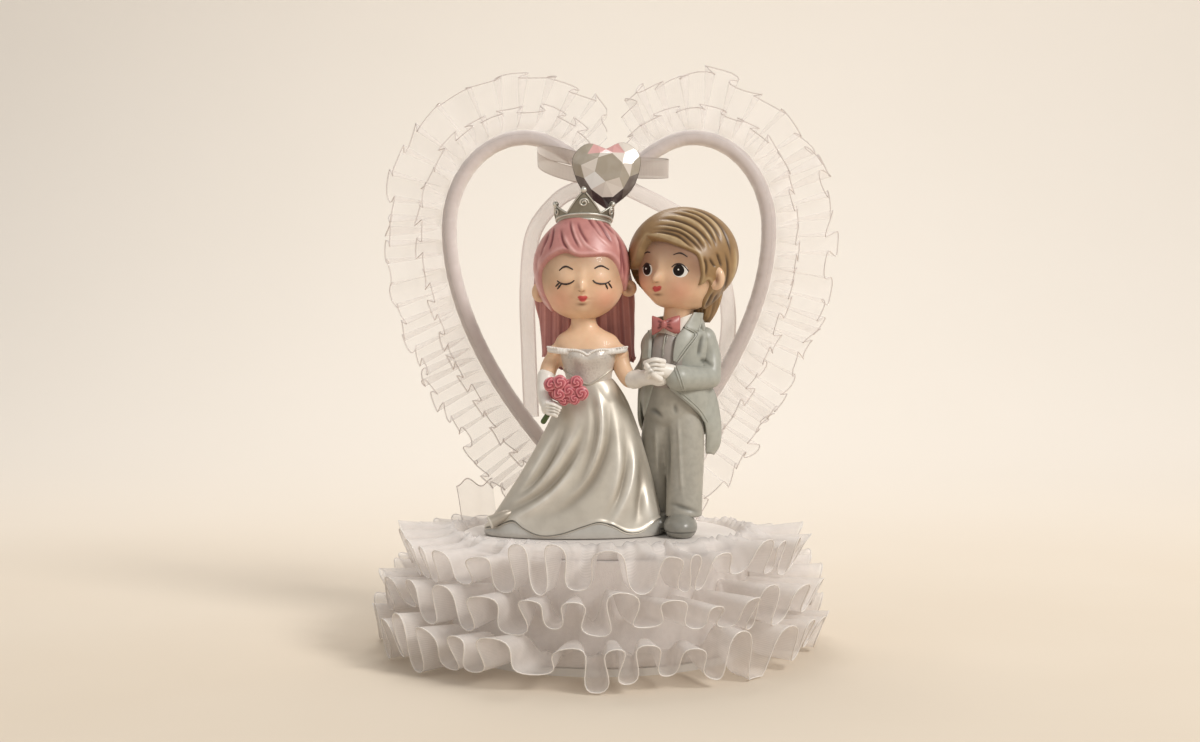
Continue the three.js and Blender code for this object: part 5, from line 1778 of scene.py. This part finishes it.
def bride_arms():
    cast_limb("bride_upper_arm_left", [up(-13.2, -3.7, 54), up(-15.2, -4.2, 51), up(-16.2, -5.4, 47.2)],
              [2.8, 2.6, 2.4], "skin", "bride_arm_left")
    right = [up(5.8, -3.7, 54), up(6.8, -4.6, 50.4), up(8.8, -6.4, 47.2), up(10.8, -8.2, 47)]
    cast_limb("bride_upper_arm_right", right, [2.8, 2.7, 2.6, 2.4], "skin", "bride_arm_right")

    glove = bmesh.new()
    limb(glove, [up(-16.2, -5.2, 48), up(-16.4, -7.6, 44.6), up(-16.4, -11, 41.6), up(-15.4, -13.6, 39.4)],
         [2.75, 2.5, 2.2, 2.0])
    ball(glove, up(-14.6, -14.4, 38.8), (2.9, 1.8, 2.4), detail=4)
    glove = fused(glove, 0.35, 3)
    add_fingers(glove, BRIDE_FINGERS, [0.62, 0.66, 0.55], 5)
    # Painted shade between the fingers
    carve(glove, finger_gaps(BRIDE_FINGER_GAPS), 0.8, 0, 0.85)
    cast("bride_long_glove_left", glove, "glove", "bride_glove_left")

    glove = bmesh.new()
    limb(glove, [up(9.8, -7.4, 47), up(13.2, -10.6, 47.6), up(16.4, -12.6, 48)], [2.75, 2.4, 2.2])
    ball(glove, up(17.4, -13.0, 47.4), (3.0, 1.8, 2.2), detail=4)
    glove = fused(glove, 0.35, 3)
    for i in range(3):
        centre = up(10.0 + i * 0.7, -7.6 - i * 0.7, 47.05 + i * 0.1)
        add_thread(glove, cuff_line(centre), 0.16, closed=True)
    cast("bride_long_glove_right", glove, "glove", "bride_glove_right")


ROSES = [(551, 384.6, 6.4), (559.6, 382.6, 6.6), (568, 386.6, 6.4), (576.2, 382.4, 6.0), (581.2, 393.2, 6.4),
         (570.6, 395.6, 6.6), (559.4, 393.6, 6.4), (574.6, 399, 5.0), (564, 400, 5.0), (568.6, 391, 6.0)]
BOUQUET_DEPTH = -15.4


def bouquet():
    """Ten small roses, each a ball with a spiral of petals, and the stem's end under the hand."""
    bm = bmesh.new()
    ball(bm, up(-10.2, -14.2, 43.8), (5.2, 2.4, 3.4), detail=4)
    clay = Clay(bm)
    # The ball behind the roses is painted dark, as painted shade between them
    clay.keep("shade", np.full(len(clay.points), -0.8))
    for i, (across, down, size) in enumerate(ROSES):
        add_rose(bm, at_depth(across, down, BOUQUET_DEPTH - 0.7 * math.sin(i * 2.1)), size * 0.31, i * 1.3)
    cast("bouquet_rose_heads", bm, "rose", "bouquet_roses")
    stem = [up(-13.4, -14.6, 40), up(-15.6, -14.8, 36.6), up(-16.7, -14.8, 34.9)]
    cast_limb("bouquet_cut_stem", stem, [0.7, 0.8, 0.85], "green", "bouquet_stem")


def add_rose(bm, centre, radius, turn):
    rose = bmesh.new()
    ball(rose, Vector(), (1, 1, 1), detail=5)
    layer = rose.verts.layers.float.new("shade")
    for vert in rose.verts:
        polar = math.acos(max(-1, min(1, -vert.co.y)))
        around = math.atan2(vert.co.z, vert.co.x) + turn
        wander = 0.35 * math.sin(around * 3 + turn * 5) + 0.2 * math.sin(around * 5 + polar * 4)
        spiral = (around * 2 / TURN + polar * 1.7 + wander * polar * 0.5) % 1
        petal = spiral ** 2 * (1 - ease(0.9, 1.0, spiral))
        # Painted shade in the spiral's hollows between the petals, painted light on their edges
        vert[layer] = float(mix(-0.7, 1.0, petal))
        vert.co *= radius * (1 + 0.2 * petal)
        vert.co.y *= 0.8
    bmesh.ops.translate(rose, verts=rose.verts, vec=centre)
    merge(bm, rose)


def dress_bride():
    surface = face_head("bride", BRIDE_HEAD, BRIDE_HEAD_SIZE, BRIDE_MARKS, BRIDE_FACE_OPENING)
    lines_on_face("bride_painted_lines", surface, BRIDE_LINES, 0.31)
    bride_hair()
    tiara()
    gown()
    bride_body()
    bride_arms()
    bouquet()


# Groom; its marks are pixels of the photograph

GROOM_HEAD = up(25, -3.5, 81.2)
GROOM_HEAD_SIZE = (13.5, 12.8, 13.7)
GROOM_HAIR = up(25.3, -1.6, 84.0)
GROOM_HAIR_SIZE = (16.8, 14.2, 15.2)

GROOM_MARKS = {
    "bumps": [
        (658.4, 277.6, 3.8, 5.0, 2.5), (659.5, 270, 4.2, 8, 0.7),
        (645, 285, 12, 14, 0.9), (678, 290, 17, 15, 0.9),
        (679.6, 270.8, 11, 9, -0.7), (647.4, 269.6, 7, 8, -0.6),
        (657.0, 286.6, 4.6, 2.4, 0.75), (657.4, 290, 3.8, 2.3, 0.7),
        (657.2, 288.3, 6, 0.8, -0.3), (661, 301, 9, 6, 0.8),
    ],
    "blush": [(642.5, 283, 11), (679, 289.5, 13)],
    "lips": [(657.4, 286.3, 2.6, 1.9), (660.2, 286.3, 2.6, 1.9), (658.8, 288.0, 3.4, 2.0)],
    # Spots of painted shade: the nostrils, between the lips and under the lower lip
    "grooves": [
        (656.4, 280.4, 1.3, 0.9), (660, 280.2, 1.2, 0.9),
        (657.2, 288.4, 3.2, 0.6), (659, 293.4, 4, 1.3),
    ],
    "hair_shade": (24, 296, 1.0),
    "neck": ([up(22.8, -4.2, 60), up(24.2, -3.6, 71)], [4.3, 4.5]),
    "ears": [(up(34.5, -12.6, 77.2), (2.5, 1.7, 3.5), -0.3, (715.8, 279.6, 3.2, 6.2))],
}
GROOM_LINES = [
    [(643.2, 254.3), (647, 252.2), (650.3, 252.4)],
    [(673.5, 254.7), (678.9, 253), (683, 253.9), (687.6, 257)],
    [(671.6, 267.0), (676.4, 263.9), (683, 264.9), (688.8, 271.4)],
    [(643.0, 267.0), (646.4, 263.4), (650.6, 264.6)],
]
GROOM_EYES = [
    {"white": (680.3, 270.9, 7.7, 6.5), "iris": (678.9, 270.4, 6.0, 6.2), "glint": (678.4, 269.6)},
    {"white": (647.5, 269.6, 4.7, 6.6), "iris": (647.3, 269.5, 4.1, 6.1), "glint": (646.8, 268.6)},
]
GROOM_FACE_OPENING = [
    (647, 236.8), (658.2, 238.5), (670.6, 242.3), (681.4, 246.4), (690.5, 250.1), (697.1, 254), (700, 259.7),
    (701.6, 268), (702, 275), (700, 282.5), (698.9, 286.6), (704.6, 284.4), (708.6, 281), (711, 286),
    (709, 293), (704, 302), (697, 322), (660, 332), (628, 312), (626, 280), (634, 264), (637.2, 257),
    (640.7, 246.4),
]
GROOM_HAIR_GROOVES = [
    [(655, 220), (668, 219), (681, 221.5), (693, 226.5), (701, 233), (708, 241.5), (712, 250)],
    [(652, 226), (665, 225), (676, 226.5), (686, 230.7), (695.5, 237.3), (702, 244.8), (705.5, 251.5)],
    [(650, 231), (662, 229), (675, 230.7), (683, 234), (691, 240), (698, 247), (702, 254)],
    [(664, 213.3), (676, 213.3), (691, 216.6), (702, 223), (709.5, 232.3), (714.5, 241.5), (716.2, 249)],
    [(671, 210.8), (686, 211.6), (699.6, 215.7), (710.4, 224), (718, 234.8), (722, 246.4)],
    [(681, 208.3), (695.5, 210), (708, 215), (718.7, 224), (726, 235.6), (730.3, 250), (731, 263)],
    [(649, 234), (660, 232.3), (671.4, 234), (679.7, 237.3), (688, 244), (695.5, 250.6)],
    [(703.5, 256), (706.5, 266), (705.5, 278)],
    [(709, 257), (713, 264), (716, 267)],
    [(724.5, 250), (728, 266), (726.5, 283), (718, 299)],
    [(716, 251), (719.5, 260), (722, 268)],
    [(714, 291), (709, 301), (704, 310)],
    [(719, 292), (713, 303), (708, 313)],
]
GROOM_HAIR_RIDGES = [
    [(653, 223), (667, 222), (679, 224), (690, 228.6), (698.5, 235), (705, 243.5), (709, 251)],
    [(651, 228.6), (664, 227), (676, 228.6), (685, 232.4), (693.5, 238.6), (700.5, 246.4)],
    [(659, 216.5), (672, 216), (686, 219), (697.5, 224.6), (706, 233), (711.5, 242), (714, 250)],
    [(668, 211.8), (681, 212.4), (695, 216), (706, 223.6), (714, 233.6), (718.5, 246)],
    [(676, 209.3), (691, 210.8), (704, 215.6), (714.6, 224), (722, 235), (726, 249)],
    [(648, 235.6), (659, 234.6), (670, 237), (680, 241), (690, 247)],
    [(734, 244), (735.5, 262), (731, 283), (722, 303)],
]


NAPE_LEVELS = [
    (64.2, 32.8, 1.2, 0.8, 0.9), (66.4, 32.2, 1.4, 2.8, 2.8), (70, 31.2, 2.0, 5.6, 4.8),
    (75, 30.2, 2.6, 8.0, 6.6), (82, 28.8, 2.0, 11.0, 9.0),
]


def groom_hair():
    """Hair combed from a left parting over the head, down behind the ear to the nape."""
    cap = hair_cap(
        GROOM_HEAD, GROOM_HEAD_SIZE, GROOM_HAIR, GROOM_HAIR_SIZE, GROOM_FACE_OPENING,
        GROOM_HAIR_GROOVES, GROOM_HAIR_RIDGES)
    cast("groom_hair_cap", cap, "brown_hair", "groom_hair")
    clay = Clay(stack(NAPE_LEVELS, 160, 60))
    across, deep, rise = clay.points.T
    angle = np.arctan2(deep - 2, across - 30)
    wave = 0.5 * np.sin(angle * 9 + rise * 0.1) + 0.3 * np.sin(angle * 23 + rise * 0.2)
    clay.push(wave * 0.25 * ease(64, 68, rise - BASE_TOP))
    # Painted shade over the nape hair, with painted light and shade along its waves
    clay.keep("shade", wave * 0.4 - 0.2)
    cast("groom_nape_hair", clay.done(), "brown_hair")


def groom_eyes(surface):
    for side, eye in zip(("right", "left"), GROOM_EYES):
        painted_spot("groom_eye_white_" + side, surface, *eye["white"], 0.12, "white")
        painted_spot("groom_eye_" + side, surface, *eye["iris"], 0.3, "eye")
        painted_spot("groom_eye_glint_" + side, surface, *eye["glint"], 0.95, 1.1, 0.42, "white")


TROUSER_GROOVES = [
    [(667.6, 414), (668.4, 440), (668.2, 470), (667.6, 499)],
    [(648.5, 408), (657, 412), (664.5, 421)],
    [(674.5, 402), (675.4, 409), (676.4, 416)],
    [(664, 502), (675, 505), (684, 508), (693, 510.5), (706, 513)],
]
TROUSER_RIDGES = [
    [(677.6, 410), (679.4, 440), (681, 475), (683.2, 505)],
    [(655.6, 425), (656.5, 450), (658.5, 480)],
]


TROUSER_LEVELS = {
    "right": [
        (5.8, 25.2, -6.2, 5.6, 5.8), (7, 25.3, -6.2, 5.5, 5.6), (14, 25.5, -5.8, 5.5, 5.4),
        (24, 25.7, -5.0, 5.8, 5.5), (32, 25.2, -4.0, 6.2, 5.8), (37, 24.4, -3.4, 6.6, 5.8),
    ],
    "left": [
        (5.0, 17.8, 2.6, 4.9, 5.0), (7, 17.7, 2.4, 4.7, 4.8), (14, 17.3, 1.8, 4.7, 4.9),
        (24, 17.3, 0.4, 5.0, 5.2), (32, 18.4, -1.4, 5.6, 5.6), (37, 19.8, -2.6, 6.0, 5.6),
    ],
    "hips": [
        (33.4, 22.2, -3.0, 7.2, 5.2), (36, 22.3, -3.2, 9.2, 6.2), (41, 22.4, -3.4, 9.6, 6.8),
        (47, 22.6, -3.4, 9.4, 6.8),
    ],
}


def trousers():
    """Two legs melted into the hips, with pressed creases and cuffs that break on the shoes."""
    bm = bmesh.new()
    for levels in TROUSER_LEVELS.values():
        merge(bm, stack(levels, 64, 48))
    bm = fused(bm, 0.42, 4)
    clay = Clay(bm)
    grooves = clay.strokes(TROUSER_GROOVES, 2.0, 0.45)
    ridges = clay.strokes(TROUSER_RIDGES, 1.6)
    clay.push(ridges * 0.4 - grooves * 0.5)
    # Painted shadow over the left leg, painted highlights on the creases and painted shade in the grooves
    shadow = ease(664, 652, clay.pixels[:, 0]) * clay.facing
    clay.keep("shade", np.clip(ridges * 0.3 - grooves * 0.5 - shadow * 0.3, -1, 1))
    surface = surface_of(clay.done())
    cast("groom_pressed_trousers", bm, "trousers", "groom_trousers")
    return surface


SHOE_WIDE, SHOE_LONG, SHOE_TALL = 5.0, 7.4, 4.1  # half sizes
SHOE_MIDDLE, SHOE_SOLE = 3.1, 0.12  # heights


def shoe(side, x, y, turn):
    """A round-toed shoe with a sole welt and a cap seam."""
    bm = bmesh.new()
    ball(bm, Vector(), (1, 1, 1), detail=6)
    layer = bm.verts.layers.float.new("shade")
    for vert in bm.verts:
        across, ahead, rise = vert.co
        welt = math.exp(-((rise + 0.28) / 0.05) ** 2)
        cap = math.exp(-((ahead + 0.3 - 0.25 * rise) / 0.03) ** 2) * ease(-0.1, 0.2, rise)
        vert[layer] = float(-0.8 * welt - 0.5 * cap)
        full = 1 - 0.03 * welt - 0.02 * cap
        height = SHOE_MIDDLE + rise * SHOE_TALL * full
        vert.co = Vector((across * SHOE_WIDE * full, ahead * SHOE_LONG * full, height))
        vert.co.z = max(vert.co.z, SHOE_SOLE)
    place = Matrix.Translation(up(x, y, 0)) @ Matrix.Rotation(turn, 4, "Z")
    bmesh.ops.transform(bm, matrix=place, verts=bm.verts)
    cast("groom_round_shoe_" + side, bm, "shoe", "groom_shoe_" + side)


COAT_LAPEL = {
    "right": ([(683.6, 328.4), (676.4, 337), (673.4, 350), (672.8, 361)],
              [(694.6, 335), (690, 341.6), (682.4, 351.4), (675.6, 362)]),
    "left": ([(646.2, 331), (643.6, 344), (642.6, 359)], [(652.4, 331), (651.4, 344), (650.4, 358.6)]),
    "collar": ([(693.4, 312.4), (688.6, 320), (683.6, 326.8)], [(702.6, 313), (701.4, 322), (697.6, 331.6)]),
}
COAT_PIPING = [
    [(684.4, 327.8), (694.6, 335), (685.6, 348), (675.8, 361.6)],
    [(686.4, 327.4), (697, 334.6), (688, 348.6), (678, 362.6)],
    [(699.6, 318), (699.2, 325), (697.4, 331.4)],
    [(650.6, 334), (650, 346), (649.4, 357)],
]
SHIRT_WING = ([(680, 318), (678, 326), (675.6, 335)], [(694, 313), (688.6, 320.4), (681.6, 330)])
COAT_GROOVES = [
    [(703.4, 332), (700, 346), (698.6, 358)],
    [(699, 358), (707, 363), (713, 367)],
    [(672.6, 363), (678, 376), (683, 391)],
]
COAT_TAIL_INNER = [(668.2, 388), (680.5, 398), (695.8, 412), (704.6, 425.5), (705.4, 452)]
COAT_TAIL_OUTER = [(707.5, 384), (714.5, 398), (718.4, 424), (717.6, 443), (711.6, 453)]
LEFT_TAIL_OUTER = [(641.5, 383), (638.4, 400), (643, 416)]
LEFT_TAIL_INNER = [(654, 383), (648.6, 401), (644.4, 416)]
# Each tail's y: at its inner line's top and foot, then at its outer line's
COAT_TAIL_DEPTHS = (-10.2, -2.0, -3.0, 2.0)
LEFT_TAIL_DEPTHS = (-8.6, -3.0, -3.0, 1.0)
TAIL_THICK = 1.0


def tail(inner, outer, depths, legs):
    """A cut-away tail that hangs over the legs, between two lines of pixels."""
    inner_line, outer_line = pixel_track(inner), pixel_track(outer)

    def place(u, v):
        pixel = inner_line.at(v).lerp(outer_line.at(v), u)
        near = mix(depths[0], depths[1], v ** 1.5)
        far = mix(depths[2], depths[3], v)
        y = mix(near, far, u) - 1.2 * math.sin(u * math.pi)
        leg, _, _, _ = legs.ray_cast(CAMERA_PLACE, sight_line(pixel.x, pixel.y))
        return at_depth(pixel.x, pixel.y, min(y, leg.y - 0.4) if leg else y)

    bm = grid(16, 30, place)
    face_outwards(bm)
    bmesh.ops.solidify(bm, geom=bm.faces[:], thickness=TAIL_THICK)
    face_outwards(bm)
    return bm


# The coat's skirt behind: its middle, its half sizes at the top, how far it hangs, and its two panels as
# shares of a half turn
COAT_BACK_X, COAT_BACK_Y, COAT_BACK_TOP = 23, -2.4, 46
COAT_BACK_WIDE, COAT_BACK_DEEP, COAT_BACK_DROP = 10.2, 7.35, 19.5
COAT_BACK_PANELS = ((0.0, 0.485), (0.515, 1.0))


def coat_back():
    """The two panels of the coat's skirt behind, with a vent between them."""
    bm = bmesh.new()
    for first, last in COAT_BACK_PANELS:
        def place(u, v):
            angle = mix(first, last, u) * math.pi
            drop = COAT_BACK_DROP * v * (0.25 + 0.75 * math.sin(angle) ** 0.5)
            spread = 1 + 0.05 * v
            x = COAT_BACK_X + COAT_BACK_WIDE * spread * math.cos(angle)
            y = COAT_BACK_Y + COAT_BACK_DEEP * spread * math.sin(angle)
            return up(x, y, COAT_BACK_TOP - drop)
        panel = grid(24, 18, place)
        face_outwards(panel)
        bmesh.ops.solidify(panel, geom=panel.faces[:], thickness=TAIL_THICK)
        merge(bm, panel)
    face_outwards(bm)
    return bm


COAT_FRONT_LEVELS = [
    (43.6, 22.6, -3.2, 10.2, 8.0), (52, 22.4, -3.6, 10.4, 8.5), (58, 22.8, -3.6, 9.9, 7.9),
    (63, 23.4, -3.4, 7.8, 6.6), (69, 24.6, -3.0, 6.4, 5.6),
]
COAT_LEVELS = [
    (43.6, 23, -2.4, 9.6, 6.8), (45, 23, -2.4, 10.1, 7.2), (48, 23, -2.5, 9.9, 7.2),
    (54, 23, -2.7, 10.4, 7.2), (58, 23.2, -2.8, 10.8, 6.8), (61, 23.6, -3.0, 9.6, 6.0),
    (63.4, 23.6, -3.2, 6.4, 4.8),
]
VEST_LEVELS = [
    (44.6, 20.4, -5.2, 5.2, 5.6), (48, 20.2, -5.4, 5.8, 6.2), (54, 20.2, -5.4, 6.0, 6.3),
    (59, 20.6, -5.2, 5.2, 5.4), (61.4, 21, -5.0, 3.8, 4.2),
]
COLLAR_LEVELS = [
    (58.4, 22.0, -4.8, 4.9, 4.9), (61, 22.0, -4.8, 5.2, 5.2), (63, 22.2, -4.6, 5.0, 5.0),
    (64.4, 22.5, -4.4, 4.6, 4.6),
]


def coat_front():
    """A smooth chest just outside the coat and the vest, that lapels and collars are laid on."""
    return surface_of(stack(COAT_FRONT_LEVELS))


def coat(legs):
    """The tailcoat: body, lapels, piping and tails."""
    front = coat_front()
    body = stack(COAT_LEVELS, 96, 60)
    vest = stack(VEST_LEVELS, 80, 50)
    surface = surface_of(body, vest)
    # Painted shade in the coat's creases and under the sleeve
    cast("groom_tailcoat", carve(body, COAT_GROOVES, 1.6, 0.6, 0.8), "coat", "groom_coat")

    for side, (left, right) in COAT_LAPEL.items():
        cast("groom_lapel_" + side, patch(front, left, right, 0.0, 1.1), "coat")
    seams = bmesh.new()
    for pixels in COAT_PIPING:
        piping(seams, front, pixels, 0.24, 0.5)
    tails = tail(COAT_TAIL_INNER, COAT_TAIL_OUTER, COAT_TAIL_DEPTHS, legs)
    tail_surface = surface_of(tails)
    for shift in (1.6, 3.4):
        edge = [(across + shift, down - shift) for across, down in COAT_TAIL_INNER[:-1]]
        piping(seams, tail_surface, edge, 0.17, 0.05)
    cast("groom_coat_piping", seams, "coat")
    cast("groom_coat_tail_right", tails, "coat")
    left_tail = tail(LEFT_TAIL_INNER, LEFT_TAIL_OUTER, LEFT_TAIL_DEPTHS, legs)
    cast("groom_coat_tail_left", left_tail, "coat")
    cast("groom_coat_back", coat_back(), "coat")

    chain = bmesh.new()
    piping(chain, surface, [(665.4, 334), (664.2, 341), (663.2, 350), (662.6, 357)], 0.22, 0.1)
    piping(chain, surface, [(667.4, 336), (665.6, 343), (662.4, 348), (663.6, 355)], 0.16, 0.1)
    cast("groom_vest_chain", chain, "silver", slot="coat")
    cast("groom_waistcoat", vest, "vest", "groom_vest", slot="coat")


# The coat's rolled collar: its middle and its half sizes
ROLL_X, ROLL_Y, ROLL_HEIGHT = 23.8, -3.2, 63.6
ROLL_WIDE, ROLL_DEEP = 7.2, 6.2


def coat_collar():
    """The coat's rolled collar round the neck, and the shirt's white collar inside it."""
    def roll(u, v):
        angle = mix(-0.14, 1.14, u) * math.pi
        c, s = rounded(v * TURN, 0.7)
        out = 0.8 * c - 0.5 * s
        x = ROLL_X + (ROLL_WIDE + out) * math.cos(angle)
        y = ROLL_Y + (ROLL_DEEP + out) * math.sin(angle)
        return up(x, y, ROLL_HEIGHT + 2.0 * s + 0.8 * math.sin(angle))

    neck = grid(48, 16, roll, closed=True)
    close_ends(neck)
    cast("groom_coat_collar", neck, "coat")
    collar = stack(COLLAR_LEVELS, 64, 24)
    wing = patch(coat_front(), *SHIRT_WING, -0.5, 0.6)
    cast("groom_collar_wing", wing, "shirt")
    cast("groom_white_collar", collar, "shirt", "groom_shirt_collar")


BOW_TIE = {"knot": (663.6, 324.4), "left": (651.8, 325.6), "right": (680.2, 325.2), "y": -11.2}
# A wing of the tie from its knot: how far along it, half height and half depth
BOW_TIE_WING = [(0.0, 1.0, 0.7), (0.3, 1.9, 1.1), (0.7, 2.6, 1.2), (0.96, 2.9, 1.0), (1.0, 2.2, 0.5)]
BOW_TIE_FOLDS = [
    [(662, 323), (657, 320.5)], [(662, 326), (657, 329)], [(666, 322.4), (672, 319.5)],
    [(666, 326), (672.5, 329.5)], [(666.4, 324.4), (671, 324.6)], [(661.4, 324.6), (658, 324.8)],
]


def bow_tie():
    """Two pinched wings and a knot, with creases that fan from it."""
    bm = bmesh.new()
    knot = at_depth(*BOW_TIE["knot"], BOW_TIE["y"])
    for side in ("left", "right"):
        end = at_depth(*BOW_TIE[side], BOW_TIE["y"] + 1.4)

        def place(u, v):
            far, tall, deep = level_at(BOW_TIE_WING, v)
            c, s = rounded(u * TURN, 0.8)
            crease = 1 - 0.16 * math.cos(u * TURN * 3) * (1 - v)
            return knot.lerp(end, far) + Vector((0, deep * c * crease, tall * s * (1 - 0.12 * abs(c))))

        part = grid(48, 20, place, closed=True)
        close_ends(part)
        merge(bm, part)
    ball(bm, knot + Vector((0, -0.7, 0)), (0.95, 0.9, 1.25), detail=4)
    # Painted shade in the tie's creases
    carve(bm, BOW_TIE_FOLDS, 1.1, 0.35, 0.9)
    cast("groom_pink_bow_tie", bm, "tie", "groom_bow_tie")


SLEEVE_CREASE = [[(697, 356), (705, 361), (714, 367)]]
CUFF_PIPING = [[(672.8, 364), (677.6, 376), (682.6, 391.6)], [(675.6, 363.2), (680.4, 376), (685, 391)]]
GROOM_FINGERS = [
    (663.5, 361.6, -0.6, 4.0, -15.6), (654.5, 360.2, -1, 4.3, -17.0), (645.4, 362.8, 0.8, 4.6, -15.4),
]
GROOM_FINGER_GAPS = [(663, 363.8, 4), (654.5, 362.4, 4.3), (646, 365.2, 4.5)]


def groom_arms():
    cast_limb("groom_coat_sleeve_left", [up(15.6, -1.0, 56.4), up(14.8, 1.6, 52), up(13.0, 5.0, 48.6)],
              [2.9, 2.8, 2.8], "coat", "groom_sleeve_left")

    right = bmesh.new()
    limb(right, [up(31.6, -3.0, 59.4), up(33.2, -3.4, 54), up(33.2, -5.4, 47.8)], [3.6, 3.4, 3.4])
    limb(right, [up(33.2, -5.4, 47.6), up(28.4, -9.6, 47.4), up(23.2, -13.0, 47.6)], [3.4, 3.6, 4.0])
    # Painted shade in the sleeve's crease
    right = carve(fused(right, 0.4, 3), SLEEVE_CREASE, 1.6, 0.4, 0.4)
    surface = surface_of(right)
    cuff = bmesh.new()
    for pixels in CUFF_PIPING:
        piping(cuff, surface, pixels, 0.22, 0.05)
    cast("groom_cuff_piping", cuff, "coat")
    cast("groom_coat_sleeve_right", right, "coat", "groom_sleeve_right")

    hand = bmesh.new()
    ball(hand, up(16.6, -14.0, 50.6), (3.4, 2.2, 2.4), detail=4)
    limb(hand, [up(21.4, -13.4, 49.4), up(18.6, -13.9, 50), up(16.6, -14.2, 50.6)], [2.3, 2.3, 2.0])
    hand = fused(hand, 0.35, 3)
    add_fingers(hand, GROOM_FINGERS, [0.85, 0.9, 0.75], 6)
    thumb = [at_depth(660, 379, -15.6), at_depth(652, 373, -17.2), at_depth(646.5, 365, -17)]
    limb(hand, thumb, [1.0, 0.95, 0.75], 6)
    # Painted shade between the fingers
    carve(hand, finger_gaps(GROOM_FINGER_GAPS), 0.9, 0, 0.9)
    cast("groom_gloved_hand", hand, "glove", "groom_glove")


def dress_groom():
    surface = face_head("groom", GROOM_HEAD, GROOM_HEAD_SIZE, GROOM_MARKS, GROOM_FACE_OPENING)
    lines_on_face("groom_painted_lines", surface, GROOM_LINES, 0.25)
    groom_eyes(surface)
    groom_hair()
    legs = trousers()
    shoe("right", 24.1, -9.4, 0.02)
    shoe("left", 17.6, -0.2, -0.1)
    coat(legs)
    coat_collar()
    bow_tie()
    groom_arms()


# Stage

def backdrop():
    """A pale sweep: a floor that curves up into a wall behind the object."""
    front, bend_start, bend, wall, half = -900, 500, 500, 1400, 1600
    points = [Vector((0, y, 0)) for y in (front, 0, bend_start)]
    steps = 12
    for i in range(1, steps + 1):
        angle = i * math.pi / (2 * steps)
        points.append(Vector((0, bend_start + bend * math.sin(angle), bend * (1 - math.cos(angle)))))
    points.append(Vector((0, bend_start + bend, wall)))
    profile = Track(points)

    def place(u, v):
        return profile.at(v) + Vector(((u - 0.5) * 2 * half, 0, 0))

    bm = grid(8, 90, place)
    face_outwards(bm)
    mesh = bpy.data.meshes.new("backdrop")
    bm.to_mesh(mesh)
    bm.free()
    mesh.transform(Matrix.Scale(MM, 4))
    mesh.polygons.foreach_set("use_smooth", [True] * len(mesh.polygons))
    finish = Finish("backdrop paper", Roughness=0.9, Specular_IOR_Level=0.1)
    split = finish.node("ShaderNodeSeparateXYZ")
    finish.link(finish.object_place(), split.inputs[0])
    # The paper is painted darker towards the front, as painted shade, and paler up the wall
    far = finish.range(split.outputs["Y"], -0.35, 0.7)
    tones = [(0, colour(214, 200, 181)), (0.45, colour(230, 217, 200)), (1, colour(245, 237, 227))]
    paper = finish.ramp(far, tones)
    grain = finish.range(finish.noise(6, 3), 0.3, 0.7, 0, 0.15)
    finish.paint(finish.blend(grain, paper, colour(240, 232, 220)))
    mesh.materials.append(finish.material)
    sweep = put("backdrop", mesh)


def lamp(name, place, target, size, power, tint):
    light = bpy.data.lights.new(name, "AREA")
    light.shape = "DISK"
    light.size = size * MM
    light.energy = power
    light.color = tint
    lit = put(name, light)
    lit.location = Vector(place) * MM
    lit.rotation_euler = (Vector(target) - Vector(place)).to_track_quat("-Z", "Y").to_euler()


def camera():
    lens = bpy.data.cameras.new("camera")
    lens.sensor_width = SENSOR
    lens.lens = FOCAL_PIXELS * SENSOR / PICTURE.x
    lens.clip_start = 0.01
    placed = put("camera", lens)
    placed.location = CAMERA_PLACE * MM
    placed.rotation_euler = (math.pi / 2 - CAMERA_PITCH, 0, 0)
    bpy.context.scene.camera = placed


def light_the_stage():
    middle = (0, 0, 90)
    lamp("key", (1000, -850, 1050), middle, 500, 16.8, (1.0, 0.98, 0.95))
    lamp("fill", (-1000, -900, 600), middle, 900, 1.6, (1.0, 0.98, 0.96))
    lamp("rim", (-90, 460, 900), middle, 500, 3.2, (1.0, 0.98, 0.95))
    world = bpy.data.worlds.new("studio")
    world.use_nodes = True
    air = world.node_tree.nodes["Background"]
    air.inputs["Color"].default_value = (0.97, 0.96, 0.94, 1)
    air.inputs["Strength"].default_value = 0.42
    scene = bpy.context.scene
    scene.world = world
    scene.view_settings.view_transform = "Standard"
    scene.cycles.transparent_max_bounces = 40


camera()
dress_base()
dress_arch()
dress_bride()
dress_groom()
backdrop()
light_the_stage()
